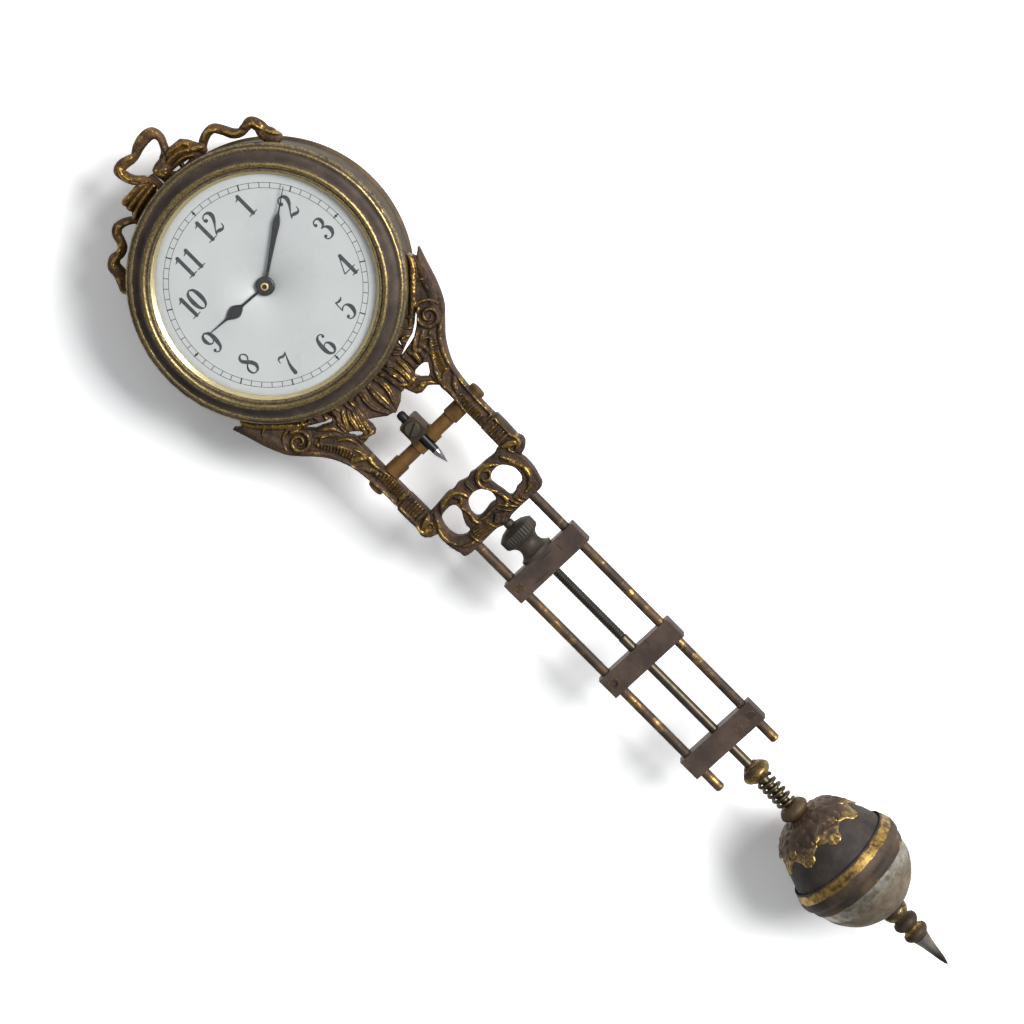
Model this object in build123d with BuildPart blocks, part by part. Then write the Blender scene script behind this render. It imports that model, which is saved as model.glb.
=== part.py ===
"""Swinging clock arm: a drum clock on two cast arms, hung on a steel point, with a bob below.

Millimetres. The origin is the tip of the pivot pin, +Z runs up to twelve o'clock, the dial
faces -Y and +X is to the viewer's right.
"""
import math
import os

from build123d import *

os.makedirs("parts", exist_ok=True)

# Fits
RUN = 0.04
SEAT = 0.02
FREE = 0.3

# Case, on an axis along Y
BEZEL_R = 35.0
DRUM_R = BEZEL_R - 0.7
DRUM_FOOT = 28.7
CASE_Z = DRUM_FOOT + DRUM_R
CASE_TOP = CASE_Z + DRUM_R
DRUM_WALL = 1.0
DRUM_FRONT = -2.0
DRUM_BACK = 12.4
SKIRT_T = 0.8
SKIRT_DEEP = 1.0
LEDGE_BORE_R = DRUM_R - 6.7
LEDGE_T = 1.1
GLASS_R = BEZEL_R - 5.6
SIGHT_R = GLASS_R - 1.1
GLASS_T = 0.7
GLASS_RISE = 1.5
GLASS_BACK = -6.4
DIAL_R = GLASS_R - 0.6
DIAL_T = 1.0
DIAL_FRONT = -5.2
DIAL_FLAT_R = DIAL_R - 2.8
DIAL_FOOT_R = 0.7
DIAL_FOOT_PCD_R = 22.0
COVER_T = 0.8
COVER_RISE = 0.5

# Movement
PLATE_T = 1.2
PLATE_FRONT = -1.4
PLATE_GAP = 8.2
FRONT_PLATE_R = DRUM_R - 3.9
BACK_PLATE_R = 26.8
PILLAR_R = 2.0
PILLAR_PCD_R = 24.0
PILLAR_ANGLES = (30, 130, 180, -50)
SCREW_R = 0.7
SCREW_HEAD_R = 1.4
SCREW_HEAD_T = 0.7
CASE_SCREW_PCD_R = DRUM_R - 5.3
CASE_SCREW_Y = 2.0
CASE_SCREWS = (82, 98, -37, -48, -132, -143)
ARBOR_R = 0.6
PIVOT_R = 0.35
CENTRE_R = 0.9
TRAIN_MODULE = 0.35
FINE_MODULE = 0.3
CANNON_MODULE = 0.25
HOUR_MODULE = 0.24
GREAT_TEETH = 72
CENTRE_PINION = 8
CENTRE_TEETH = 60
THIRD_PINION = 8
THIRD_TEETH = 56
ESCAPE_PINION = 7
ESCAPE_TEETH = 30
ESCAPE_R = 6.0
ESCAPE_RISE = 13.5
ANCHOR_RISE = 8.6
CANNON_TEETH = 12
MINUTE_TEETH = 36
MINUTE_PINION = 10
HOUR_TEETH = 40
WHEEL_T = 0.5
BARREL_R = 11.2
BARREL_WALL = 0.5
BARREL_DEEP = 4.6
GREAT_T = 1.0
WIND_R = 1.2
RATCHET_TEETH = 20
RATCHET_R = 4.2
RATCHET_DEEP = 0.6
RATCHET_T = 0.8

# Hands, pointing as photographed, in degrees clockwise from twelve
MINUTE_AT = 56
HOUR_AT = 274
MINUTE_LONG = 25.0
HOUR_LONG = 18.6
HAND_T = 0.25

# Cast arms, spray and yoke
ARM_FRONT = -1.9
ARM_BACK = 3.3
ARM_IN = 12.35
ARM_OUT = 17.1
SLIT = 2.9
CAPITAL_TOP = 0.5
CAPITAL_BOTTOM = -7.2
YOKE_TOP = -6.1
YOKE_BOTTOM = -20.6
YOKE_HALF = 14.8
YOKE_BACK = 1.9

# Crossbar and pivot
BAR_Y = 1.3
BAR_Z = 7.8
COLLAR_R = 2.3
CROSS_R = 1.85
END_SCREW_R = 0.8
PIN_R = 1.1
PIN_BODY_R = 1.3
PIN_CONE = 3.5
PIN_TOP = 17.5
BLOCK_HALF = 2.5
BLOCK_TOP = 14.8
BLOCK_FRONT = -2.2
BLOCK_BACK = 4.8

# Rods, bars and nut
ROD_X = 9.6
ROD_R = 1.3
ROD_TOP = -17.2
ROD_BOTTOM = -109.3
BAR_HALF = 12.0
BAR_DEEP = 4.2
BAR_H = 6.2
TOP_BAR = -32.4
MIDDLE_BAR = -66.8
BOTTOM_BAR = -96.6
THREAD_R = 1.2
THREAD_PITCH = 0.6
THREAD_DEEP = 0.15
THREAD_END = -62.6
CENTRE_ROD_TOP = -27.0
CENTRE_ROD_BOTTOM = -168.5
NUT_TOP = -20.9
NUT_R = 5.15
KNURLS = 36

# Collars and spring
UPPER_COLLAR_TOP = -109.4
UPPER_COLLAR_H = 4.9
LOWER_COLLAR_TOP = -124.1
LOWER_COLLAR_H = 4.3
WIRE_R = 0.47
COIL_R = 2.18
COIL_TURNS = 5

# Bob and finial
BOB_TOP = -128.4
BOB_R = 14.7
BAND_R = 16.07
BAND_TOP = -142.9
BAND_BOTTOM = -150.6
EQUATOR = -146.7
BOB_BOTTOM = -163.0
SHELL_T = 1.0
LEAF_T = 0.7
LEAVES = 8
CORE_R = 9.2
FINIAL_TIP = -184.2

FLANGE_Y = PLATE_FRONT + PLATE_T
BACK_PLATE_Y = FLANGE_Y + PLATE_GAP
BACK_PLATE_BACK = BACK_PLATE_Y + PLATE_T
CASE_AXIS = Axis((0, 0, CASE_Z), (0, 1, 0))


def facing(x, y, z, turn=0):
    """Plane seen from the front: its x runs right, or turned anticlockwise, extrusions come forward."""
    a = math.radians(turn)
    return Plane(origin=(x, y, z), x_dir=(math.cos(a), 0, math.sin(a)), z_dir=(0, -1, 0))


def across(x, y, z, way):
    """Plane square to the direction way, its x running along Y."""
    return Plane(origin=(x, y, z), x_dir=(0, 1, 0), z_dir=way)


def radial(radius, turn):
    """Plane of a case screw, square to the case's radius at that turn."""
    a = math.radians(turn)
    x, z = polar(radius, turn)
    return across(x, CASE_SCREW_Y, z, (math.cos(a), 0, math.sin(a)))


def outline(plane, points):
    """Closed face with straight sides through the points."""
    with BuildSketch(plane) as face:
        with BuildLine():
            Polyline(*points, close=True)
        make_face()
    return face.sketch


def section(x, z):
    """Plane of a half section about an arbor along Y: its x is the radius, its y is Y."""
    return Plane(origin=(x, 0, z))


def toothed(plane, teeth, module, phase, tip=0.2, root=0.52):
    """Outline of a wheel with straight-flanked teeth, one of them centred on the phase angle."""
    pitch = 2 * math.pi / teeth
    low = module * (teeth / 2 - 1.15)
    high = module * (teeth / 2 + 0.85)
    points = []
    for k in range(teeth):
        middle = math.radians(phase) + k * pitch
        for radius, share in ((low, -root), (high, -tip), (high, tip), (low, root)):
            angle = middle + share * pitch / 2
            points.append((radius * math.cos(angle), radius * math.sin(angle)))
    return outline(plane, points)


def biarc(start, way, end, end_way):
    """Two tangent arcs from start to end."""
    gap = end - start
    both = way + end_way
    spread = 2 * (1 - way.dot(end_way))
    reach = (-gap.dot(both) + math.sqrt(gap.dot(both) ** 2 + spread * gap.dot(gap))) / spread
    near = start + way * reach
    far = end - end_way * reach
    middle = (near + far) / 2
    TangentArc(start, middle, tangent=way)
    TangentArc(middle, end, tangent=(far - near).normalized())


def polar(radius, degrees):
    """Point on a circle about the case's axis, in front view."""
    a = math.radians(degrees)
    return (radius * math.cos(a), CASE_Z + radius * math.sin(a))


pieces = {}

# Drum case
drum_in = DRUM_R - DRUM_WALL
with BuildPart() as case_drum:
    revolve(outline(section(0, CASE_Z), [
        (drum_in, DRUM_FRONT), (DRUM_R, DRUM_FRONT), (DRUM_R, DRUM_BACK - 1.4),
        (BEZEL_R, DRUM_BACK - 1), (BEZEL_R, DRUM_BACK), (drum_in, DRUM_BACK),
        (drum_in, FLANGE_Y + LEDGE_T), (LEDGE_BORE_R, FLANGE_Y + LEDGE_T),
        (LEDGE_BORE_R, FLANGE_Y), (drum_in, FLANGE_Y)]), axis=CASE_AXIS)
    for turn in (80, 200, 320):
        x, z = polar(CASE_SCREW_PCD_R, turn)
        with BuildSketch(facing(x, FLANGE_Y + LEDGE_T, z)):
            Circle(SCREW_R)
        extrude(amount=LEDGE_T, mode=Mode.SUBTRACT)
    for turn in CASE_SCREWS:
        with BuildSketch(radial(drum_in - 1, turn)):
            Circle(SCREW_R + SEAT)
        extrude(amount=DRUM_WALL + 4, mode=Mode.SUBTRACT)
pieces["case_drum"] = case_drum

# Bezel with an inner and an outer gilt ridge and a hollow between them
skirt_r = drum_in - SEAT
GLASS_SEAT = GLASS_BACK - GLASS_T
GLASS_LIP = 0.14
with BuildPart() as bezel:
    with BuildSketch(section(0, CASE_Z)):
        with BuildLine():
            Polyline(
                (skirt_r - SKIRT_T, DRUM_FRONT + SKIRT_DEEP), (skirt_r, DRUM_FRONT + SKIRT_DEEP),
                (skirt_r, DRUM_FRONT), (BEZEL_R - 0.4, DRUM_FRONT), (BEZEL_R, DRUM_FRONT - 0.4),
                (BEZEL_R, -3.2))
            ThreePointArc((BEZEL_R, -3.2), (BEZEL_R - 0.3, -4.3), (BEZEL_R - 1.1, -4.9))
            ThreePointArc(
                (BEZEL_R - 1.1, -4.9), (BEZEL_R - 1.4, -5.05), (BEZEL_R - 1.8, -4.8))
            ThreePointArc(
                (BEZEL_R - 1.8, -4.8), (GLASS_R + 2.5, -5.2), (GLASS_R + 1.5, -7.0))
            ThreePointArc((GLASS_R + 1.5, -7.0), (GLASS_R + 0.6, -8.4), (GLASS_R - 0.5, -8.2))
            Polyline(
                (GLASS_R - 0.5, -8.2), (SIGHT_R, GLASS_SEAT - 0.5), (SIGHT_R, GLASS_SEAT - GLASS_LIP),
                (GLASS_R + 0.15, GLASS_SEAT - GLASS_LIP), (GLASS_R + 0.15, DIAL_FRONT),
                (GLASS_R + 0.9, DIAL_FRONT + 0.8),
                (skirt_r - SKIRT_T, DRUM_FRONT), (skirt_r - SKIRT_T, DRUM_FRONT + SKIRT_DEEP))
        make_face()
    revolve(axis=CASE_AXIS)
pieces["bezel"] = bezel

# Domed glass
with BuildPart() as glass:
    with BuildSketch(section(0, CASE_Z)):
        with BuildLine():
            ThreePointArc(
                (-GLASS_R, GLASS_BACK), (0, GLASS_BACK - GLASS_RISE), (GLASS_R, GLASS_BACK))
            Line((GLASS_R, GLASS_BACK), (GLASS_R, GLASS_SEAT))
            ThreePointArc(
                (GLASS_R, GLASS_SEAT), (0, GLASS_SEAT - GLASS_RISE), (-GLASS_R, GLASS_SEAT))
            Line((-GLASS_R, GLASS_SEAT), (-GLASS_R, GLASS_BACK))
        make_face()
        with Locations((-GLASS_R, GLASS_BACK)):
            Rectangle(2 * GLASS_R, 4 * GLASS_R, mode=Mode.SUBTRACT)
    revolve(axis=CASE_AXIS)
pieces["glass"] = glass

# Brass sight ring behind the glass
with BuildPart() as sight_ring:
    revolve(outline(section(0, CASE_Z), [
        (GLASS_R - 2, DIAL_FRONT + 0.05), (GLASS_R - 2, DIAL_FRONT - 0.15),
        (GLASS_R - 0.5, GLASS_BACK + SEAT),
        (GLASS_R, GLASS_BACK + SEAT), (GLASS_R, DIAL_FRONT + 0.05)]), axis=CASE_AXIS)
pieces["sight_ring"] = sight_ring

# Enamel dial, rolled back at its rim, with three feet
DIAL_BACK = DIAL_FRONT + DIAL_T
DIAL_HOLE_R = 1.95
with BuildPart() as dial:
    with BuildSketch(section(0, CASE_Z)):
        with BuildLine():
            Line((DIAL_HOLE_R, DIAL_BACK), (DIAL_HOLE_R, DIAL_FRONT))
            Line((DIAL_HOLE_R, DIAL_FRONT), (DIAL_FLAT_R, DIAL_FRONT))
            TangentArc((DIAL_FLAT_R, DIAL_FRONT), (DIAL_R, DIAL_BACK - 0.2), tangent=(1, 0))
            Polyline((DIAL_R, DIAL_BACK - 0.2), (DIAL_R, DIAL_BACK), (DIAL_HOLE_R, DIAL_BACK))
        make_face()
    revolve(axis=CASE_AXIS)
    for turn in (30, 150, 270):
        x, z = polar(DIAL_FOOT_PCD_R, turn)
        with BuildSketch(facing(x, PLATE_FRONT + PLATE_T * 0.7, z)):
            Circle(DIAL_FOOT_R)
        extrude(amount=PLATE_FRONT + PLATE_T * 0.7 - DIAL_BACK + 0.1)
pieces["dial"] = dial

# Wheel centres: the train hangs together from the centre arbor
great_reach = TRAIN_MODULE * (GREAT_TEETH + CENTRE_PINION) / 2
third_reach = TRAIN_MODULE * (CENTRE_TEETH + THIRD_PINION) / 2
escape_reach = FINE_MODULE * (THIRD_TEETH + ESCAPE_PINION) / 2
minute_reach = CANNON_MODULE * (CANNON_TEETH + MINUTE_TEETH) / 2
BARREL_TURN = 225
barrel_x, barrel_z = polar(great_reach, BARREL_TURN)
third_rise = (third_reach**2 - escape_reach**2 + ESCAPE_RISE**2) / (2 * ESCAPE_RISE)
third_x = math.sqrt(third_reach**2 - third_rise**2)
third_z = CASE_Z + third_rise
escape_z = CASE_Z + ESCAPE_RISE
anchor_z = escape_z + ANCHOR_RISE
minute_z = CASE_Z - minute_reach
third_turn = math.degrees(math.atan2(third_rise, third_x))
escape_turn = math.degrees(math.atan2(escape_z - third_z, -third_x))

# Back cover, snapped into the drum
with BuildPart() as back_cover:
    revolve(outline(section(0, CASE_Z), [
        (0, DRUM_BACK + COVER_RISE), (DRUM_R - 3.3, DRUM_BACK + COVER_RISE),
        (skirt_r - SKIRT_T, DRUM_BACK - 0.2), (skirt_r - SKIRT_T, DRUM_BACK - SKIRT_DEEP),
        (skirt_r, DRUM_BACK - SKIRT_DEEP), (skirt_r, DRUM_BACK), (BEZEL_R, DRUM_BACK),
        (BEZEL_R, DRUM_BACK + 0.5), (BEZEL_R - 2.5, DRUM_BACK + COVER_RISE + COVER_T),
        (0, DRUM_BACK + COVER_RISE + COVER_T)]), axis=CASE_AXIS)
    for x, z, bore in ((0, CASE_Z, CENTRE_R + FREE), (barrel_x, barrel_z, WIND_R + FREE)):
        with BuildSketch(facing(x, DRUM_BACK + COVER_RISE + COVER_T, z)):
            Circle(bore)
        extrude(amount=COVER_T, mode=Mode.SUBTRACT)
pieces["back_cover"] = back_cover

# Ribbon crest: loop, wings, knot and two waved streamers, cast in one
CREST_FRONT = -0.2
CREST_BACK = 3.2
CREST_T = CREST_BACK - CREST_FRONT
LOOP = [(-5.6, 6.7), (-6.9, 10.3), (-4.6, 11.1), (-1.9, 10.3), (1.0, 10.9), (4.4, 12.0), (6.0, 10.1),
        (4.3, 6.7)]
STREAMER = [(11.4, -0.7), (13.6, 1.7), (16.0, 1.9), (18.0, -0.1), (20.2, -3.4), (22.4, -3.5), (24.9, -4.4),
            (26.2, -7.5), (27.4, -10.9)]
with BuildPart() as ribbon_crest:
    with BuildSketch(facing(0, CREST_BACK, CASE_TOP)):
        with BuildLine() as loop_line:
            Spline(*LOOP)
        trace(lines=loop_line.line, line_width=2.7)
        with BuildLine() as right_streamer:
            Spline(*STREAMER)
        trace(lines=right_streamer.line, line_width=2.2)
        with BuildLine() as left_streamer:
            Spline(*[(-x, z) for x, z in STREAMER])
        trace(lines=left_streamer.line, line_width=2.2)
        with BuildLine():
            Polyline(
                (-13.2, -1.9), (-12.2, 4.5), (-6.5, 5.3), (0, 5.6), (6.8, 5.9), (9.8, 5.5), (12.8, -1.3),
                close=True)
        make_face()
        with Locations((0, -DRUM_R)):
            Circle(DRUM_R, mode=Mode.SUBTRACT)
    extrude(amount=CREST_T)
    with BuildSketch(facing(0.5, CREST_FRONT, CASE_TOP + 3.1)):
        Ellipse(2.5, 3.0)
    extrude(amount=0.7)
    for turn in CASE_SCREWS[:2]:
        with BuildSketch(radial(DRUM_R - 0.5, turn)):
            Circle(SCREW_R + SEAT)
        extrude(amount=3, mode=Mode.SUBTRACT)
pieces["ribbon_crest"] = ribbon_crest

# Screws that hold the crest and the arms, put in from inside the drum
with BuildPart() as case_screws:
    for turn in CASE_SCREWS:
        place = radial(drum_in - SCREW_HEAD_T, turn)
        with BuildSketch(place):
            Circle(SCREW_R)
        extrude(amount=SCREW_HEAD_T + DRUM_WALL + 2)
        with BuildSketch(place):
            Circle(SCREW_HEAD_R / 1.6)
        extrude(amount=SCREW_HEAD_T - 0.05)
pieces["case_screws"] = case_screws

# Side arms: the outer edge sweeps down from the case to the capital and the scroll foot
ARM_EDGE = [(33.0, 43.4), (31.8, 39.8), (29.9, 33.9), (27.6, 29.2), (25.0, 26.3), (21.9, 23.0), (19.7, 19.6),
            (18.0, 15.5), (ARM_OUT, 9.5)]
SPRAY_EDGE = [(12.7, 27.9), (13.5, 24.5), (14.0, 22.2), (12.0, 18.8), (ARM_IN, 16.0)]
SHOULDER = [(ARM_IN, YOKE_TOP), (YOKE_HALF - 0.1, -11.3)]
VOLUTE = (22.8, 29.6)
shaft_x = (ARM_IN + ARM_OUT) / 2
capital_z = (CAPITAL_TOP + CAPITAL_BOTTOM) / 2


def make_arm(side):
    """Right arm for side 1, left arm for side -1."""
    def at(points):
        return [(side * x, z) for x, z in points]

    with BuildPart() as arm:
        with BuildSketch(facing(0, ARM_BACK, 0)):
            with BuildLine():
                Spline(*at(ARM_EDGE))
                Polyline(*at([
                    ARM_EDGE[-1], (ARM_OUT, CAPITAL_TOP), (ARM_OUT + 0.4, CAPITAL_TOP - 0.3),
                    (ARM_OUT + 0.4, CAPITAL_BOTTOM), (ARM_OUT + 0.9, -8.6), (ARM_OUT + 0.5, -9.9),
                    (ARM_OUT - 0.7, -10.9), SHOULDER[1], SHOULDER[0], *SPRAY_EDGE[::-1],
                    polar(DRUM_R + SLIT, -61.5), polar(DRUM_R + SLIT, -52.6), polar(DRUM_R, -51),
                    polar(DRUM_R, -41), polar(DRUM_R, -31.2), ARM_EDGE[0]]))
            make_face()
            with Locations((0, CASE_Z)):
                Circle(DRUM_R, mode=Mode.SUBTRACT)
        extrude(amount=ARM_BACK - ARM_FRONT)
        with BuildSketch(facing(side * VOLUTE[0], ARM_FRONT, VOLUTE[1])):
            Circle(2.6)
            Circle(1.7, mode=Mode.SUBTRACT)
            Circle(0.8)
        extrude(amount=0.5)
        with BuildSketch(facing(side * shaft_x, ARM_FRONT, 6.5)):
            with GridLocations(1, 1.0, 1, 12):
                Rectangle(2.6, 0.5)
        extrude(amount=0.35)
        with BuildSketch(facing(side * shaft_x, ARM_FRONT, capital_z)):
            Rectangle(5.6, CAPITAL_TOP - CAPITAL_BOTTOM - 0.6)
        extrude(amount=0.6)
        with BuildSketch(facing(side * shaft_x, ARM_FRONT - 0.6, capital_z)):
            with GridLocations(1, 1.0, 1, 4):
                Rectangle(3.4, 0.5)
        extrude(amount=0.3)
        with BuildSketch(across(side * (ARM_IN - 1), BAR_Y, BAR_Z, (side, 0, 0))):
            Circle(END_SCREW_R + SEAT)
        extrude(amount=ARM_OUT - ARM_IN + 3, mode=Mode.SUBTRACT)
        for turn in CASE_SCREWS[2:]:
            if math.cos(math.radians(turn)) * side > 0:
                with BuildSketch(radial(DRUM_R - 1, turn)):
                    Circle(SCREW_R + SEAT)
                extrude(amount=3.2, mode=Mode.SUBTRACT)
    return arm


pieces["left_arm"] = make_arm(-1)
pieces["right_arm"] = make_arm(1)

# Leaf spray under the case, between the arms
SPRAY_FRONT = -1.7
SPRAY_BACK = 1.7
SPRAY = [(12.0, 18.8), (9.8, 21.4), (9.9, 22.1), (13.9, 22.4), (13.5, 24.5), (12.7, 27.9)]
SPRAY_FOOT = [(ARM_IN, 16.0), (10.4, 17.0), (8.6, 17.1), (7.0, 17.9), (6.3, 21.7), (4.4, 20.6), (1.6, 18.7),
              (0, 18.2)]
with BuildPart() as leaf_spray:
    foot = SPRAY_FOOT + [(-x, z) for x, z in SPRAY_FOOT[-2::-1]]
    with BuildSketch(facing(0, SPRAY_BACK, 0)):
        with BuildLine():
            Polyline(
                *foot, *[(-x, z) for x, z in SPRAY], (-11, 31), (11, 31), *SPRAY[::-1], close=True)
        make_face()
        with Locations((0, CASE_Z)):
            Circle(DRUM_R, mode=Mode.SUBTRACT)
    extrude(amount=SPRAY_BACK - SPRAY_FRONT)
    for k in range(-3, 4):
        with BuildSketch(facing(k * 2.6, SPRAY_FRONT, 24.2 - abs(k) * 0.25, k * 12)):
            Ellipse(0.8, 2.7)
        extrude(amount=0.5)
pieces["leaf_spray"] = leaf_spray

# Turned crossbar between the arms, grooved in front for the pin and drilled for its screws
end_plane = Plane(origin=(0, BAR_Y, BAR_Z), x_dir=(1, 0, 0), z_dir=(0, 0, 1))
BLOCK_SCREW_DEEP = 1.6
with BuildPart() as crossbar:
    revolve(outline(end_plane, [
        (-ARM_IN, 0), (-ARM_IN, COLLAR_R), (-8.4, COLLAR_R), (-8.4, CROSS_R), (-3.2, CROSS_R),
        (-3.2, COLLAR_R), (3.2, COLLAR_R), (3.2, CROSS_R), (8.4, CROSS_R), (8.4, COLLAR_R),
        (ARM_IN, COLLAR_R), (ARM_IN, 0)]), axis=Axis((0, BAR_Y, BAR_Z), (1, 0, 0)))
    with BuildSketch(Plane.XY.offset(BAR_Z - 4)):
        Circle(PIN_BODY_R + SEAT)
        with Locations((0, -2)):
            Rectangle(2 * (PIN_BODY_R + SEAT), 4, mode=Mode.ADD)
    extrude(amount=8, mode=Mode.SUBTRACT)
    for side in (-1, 1):
        with BuildSketch(across(side * ARM_IN, BAR_Y, BAR_Z, (-side, 0, 0))):
            Circle(END_SCREW_R + SEAT)
        extrude(amount=5, mode=Mode.SUBTRACT)
    with BuildSketch(facing(0, BAR_Y + COLLAR_R, BAR_Z)):
        Circle(SCREW_R + SEAT)
    extrude(amount=BLOCK_SCREW_DEEP, mode=Mode.SUBTRACT)
pieces["crossbar"] = crossbar

# Crossbar end screws
END_HEAD_R = 2.2
END_HEAD_T = 1.5
with BuildPart() as crossbar_screws:
    for side in (-1, 1):
        with BuildSketch(across(side * (ARM_IN - 4.8), BAR_Y, BAR_Z, (side, 0, 0))):
            Circle(END_SCREW_R)
        extrude(amount=ARM_OUT - ARM_IN + 4.8)
        with BuildSketch(across(side * ARM_OUT, BAR_Y, BAR_Z, (side, 0, 0))):
            Circle(END_HEAD_R)
        extrude(amount=END_HEAD_T)
    chamfer(crossbar_screws.edges().group_by(Axis.X)[0] + crossbar_screws.edges().group_by(Axis.X)[-1], 0.35)
    with BuildSketch(Plane.XY.offset(BAR_Z - 4)):
        for side in (-1, 1):
            with Locations((side * (ARM_OUT + END_HEAD_T), BAR_Y)):
                Rectangle(1.0, 0.5)
    extrude(amount=8, mode=Mode.SUBTRACT)
pieces["crossbar_screws"] = crossbar_screws

# Pivot block: bored for the pin, saddled on the crossbar and screwed to it from behind
BLOCK_BOTTOM = 9.2
CLAMP_Z = 12.4
with BuildPart() as pivot_block:
    with BuildSketch(Plane(origin=(-BLOCK_HALF, 0, 0), x_dir=(0, 1, 0), z_dir=(1, 0, 0))):
        with BuildLine():
            Polyline(
                (BLOCK_FRONT, BLOCK_BOTTOM), (BLOCK_FRONT, BLOCK_TOP), (BLOCK_BACK, BLOCK_TOP),
                (BLOCK_BACK, BAR_Z - 2), (BAR_Y + COLLAR_R, BAR_Z - 2), (BAR_Y + COLLAR_R, BLOCK_BOTTOM),
                close=True)
        make_face()
        with Locations((BAR_Y, BAR_Z)):
            Circle(COLLAR_R + SEAT, mode=Mode.SUBTRACT)
    extrude(amount=2 * BLOCK_HALF)
    chamfer(pivot_block.edges().filter_by(Axis.Y).group_by(Axis.Z)[-1], 0.5)
    with BuildSketch(Plane.XY.offset(BLOCK_BOTTOM - 2)):
        Circle(PIN_BODY_R + SEAT)
    extrude(amount=8, mode=Mode.SUBTRACT)
    with BuildSketch(facing(0, BLOCK_BACK, BAR_Z)):
        Circle(SCREW_R + SEAT)
    extrude(amount=BLOCK_BACK - BAR_Y, mode=Mode.SUBTRACT)
    with BuildSketch(facing(0, 0, CLAMP_Z)):
        Circle(END_SCREW_R + SEAT)
    extrude(amount=-BLOCK_FRONT, mode=Mode.SUBTRACT)
pieces["pivot_block"] = pivot_block

# Clamp screw on the front of the block, bearing on the pin, and the block's screw behind
CLAMP_R = 2.0
CLAMP_T = 1.1
with BuildPart() as block_screws:
    with BuildSketch(facing(0, BLOCK_FRONT, CLAMP_Z)):
        Circle(CLAMP_R)
    extrude(amount=CLAMP_T)
    chamfer(block_screws.edges().group_by(Axis.Y)[0], 0.3)
    with BuildSketch(facing(0, -PIN_BODY_R - 0.05, CLAMP_Z)):
        Circle(END_SCREW_R)
    extrude(amount=-BLOCK_FRONT - PIN_BODY_R)
    with BuildSketch(facing(0, BLOCK_FRONT - CLAMP_T / 2, CLAMP_Z, 25)):
        Rectangle(2 * CLAMP_R, 0.5)
    extrude(amount=CLAMP_T, mode=Mode.SUBTRACT)
    with BuildSketch(facing(0, BLOCK_BACK, BAR_Z)):
        Circle(SCREW_R)
    extrude(amount=BLOCK_BACK - BAR_Y - COLLAR_R + BLOCK_SCREW_DEEP - 0.1)
    with BuildSketch(facing(0, BLOCK_BACK + SCREW_HEAD_T, BAR_Z)):
        Circle(SCREW_HEAD_R)
        Rectangle(2 * SCREW_HEAD_R, 0.4, mode=Mode.SUBTRACT)
    extrude(amount=SCREW_HEAD_T)
pieces["block_screws"] = block_screws

# Steel pivot pin: cone point, free shank, and a thicker body held in the crossbar and block
SHANK_TOP = BAR_Z - COLLAR_R
with BuildPart() as pivot_pin:
    revolve(outline(Plane.XZ, [
        (0, 0), (PIN_R, PIN_CONE), (PIN_R, SHANK_TOP), (PIN_BODY_R, SHANK_TOP + 0.02),
        (PIN_BODY_R, PIN_TOP - 0.9), (PIN_R * 0.7, PIN_TOP - 0.2), (0, PIN_TOP)]), axis=Axis.Z)
pieces["pivot_pin"] = pivot_pin

# Yoke plate with three holes, its shoulders under the scroll feet
HOLE_Z = -12.6
with BuildPart() as yoke_plate:
    half = [(ARM_IN, YOKE_TOP), SHOULDER[1], (YOKE_HALF, -15.3), (14.0, -18.6), (12.7, YOKE_BOTTOM)]
    with BuildSketch(facing(0, YOKE_BACK, 0)):
        with BuildLine():
            Polyline(*half, *[(-x, z) for x, z in half[::-1]], close=True)
        make_face()
        with Locations((0, HOLE_Z)):
            Circle(3.25, mode=Mode.SUBTRACT)
        with Locations((0, HOLE_Z - 3.6)):
            Rectangle(6, 1.8)
        with Locations((8.8, HOLE_Z + 0.2), (-8.8, HOLE_Z + 0.2)):
            Ellipse(2.6, 3.9, mode=Mode.SUBTRACT)
    extrude(amount=YOKE_BACK - ARM_FRONT)
    for side in (-1, 1):
        with BuildSketch(facing(side * 4.6, ARM_FRONT, -8.7)):
            Circle(1.9)
            Circle(1.0, mode=Mode.SUBTRACT)
        extrude(amount=0.5)
    with BuildSketch(facing(0, ARM_FRONT, -18.4)):
        Rectangle(19, 3.4)
    extrude(amount=0.4)
    with BuildSketch(Plane.XY.offset(YOKE_BOTTOM)):
        with Locations((ROD_X, 0), (-ROD_X, 0)):
            Circle(ROD_R + SEAT)
    extrude(amount=ROD_TOP - YOKE_BOTTOM + SEAT, mode=Mode.SUBTRACT)
pieces["yoke_plate"] = yoke_plate

# Two guide rods
with BuildPart() as guide_rods:
    with BuildSketch(Plane.XY.offset(ROD_BOTTOM)):
        with Locations((ROD_X, 0), (-ROD_X, 0)):
            Circle(ROD_R)
    extrude(amount=ROD_TOP - ROD_BOTTOM)
    chamfer(guide_rods.edges().group_by(Axis.Z)[0], 0.4)
pieces["guide_rods"] = guide_rods


def make_bar(top, side_bore, middle_bore, mark):
    """Flat bar across the rods, with a pin hole or a ring mark on its front at the marked side."""
    with BuildPart() as bar:
        with BuildSketch(Plane.XY.offset(top - BAR_H)):
            Rectangle(2 * BAR_HALF, BAR_DEEP)
            with Locations((ROD_X, 0), (-ROD_X, 0)):
                Circle(side_bore, mode=Mode.SUBTRACT)
            Circle(middle_bore, mode=Mode.SUBTRACT)
        extrude(amount=BAR_H)
        chamfer(bar.edges().filter_by(Axis.Z).group_by(Axis.X)[0], 0.3)
        chamfer(bar.edges().filter_by(Axis.Z).group_by(Axis.X)[-1], 0.3)
        with BuildSketch(facing(mark * ROD_X, -ROD_R - 0.3, top - BAR_H / 2)):
            Circle(PIN_HOLE_R)
        extrude(amount=BAR_DEEP, mode=Mode.SUBTRACT)
    return bar


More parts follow.
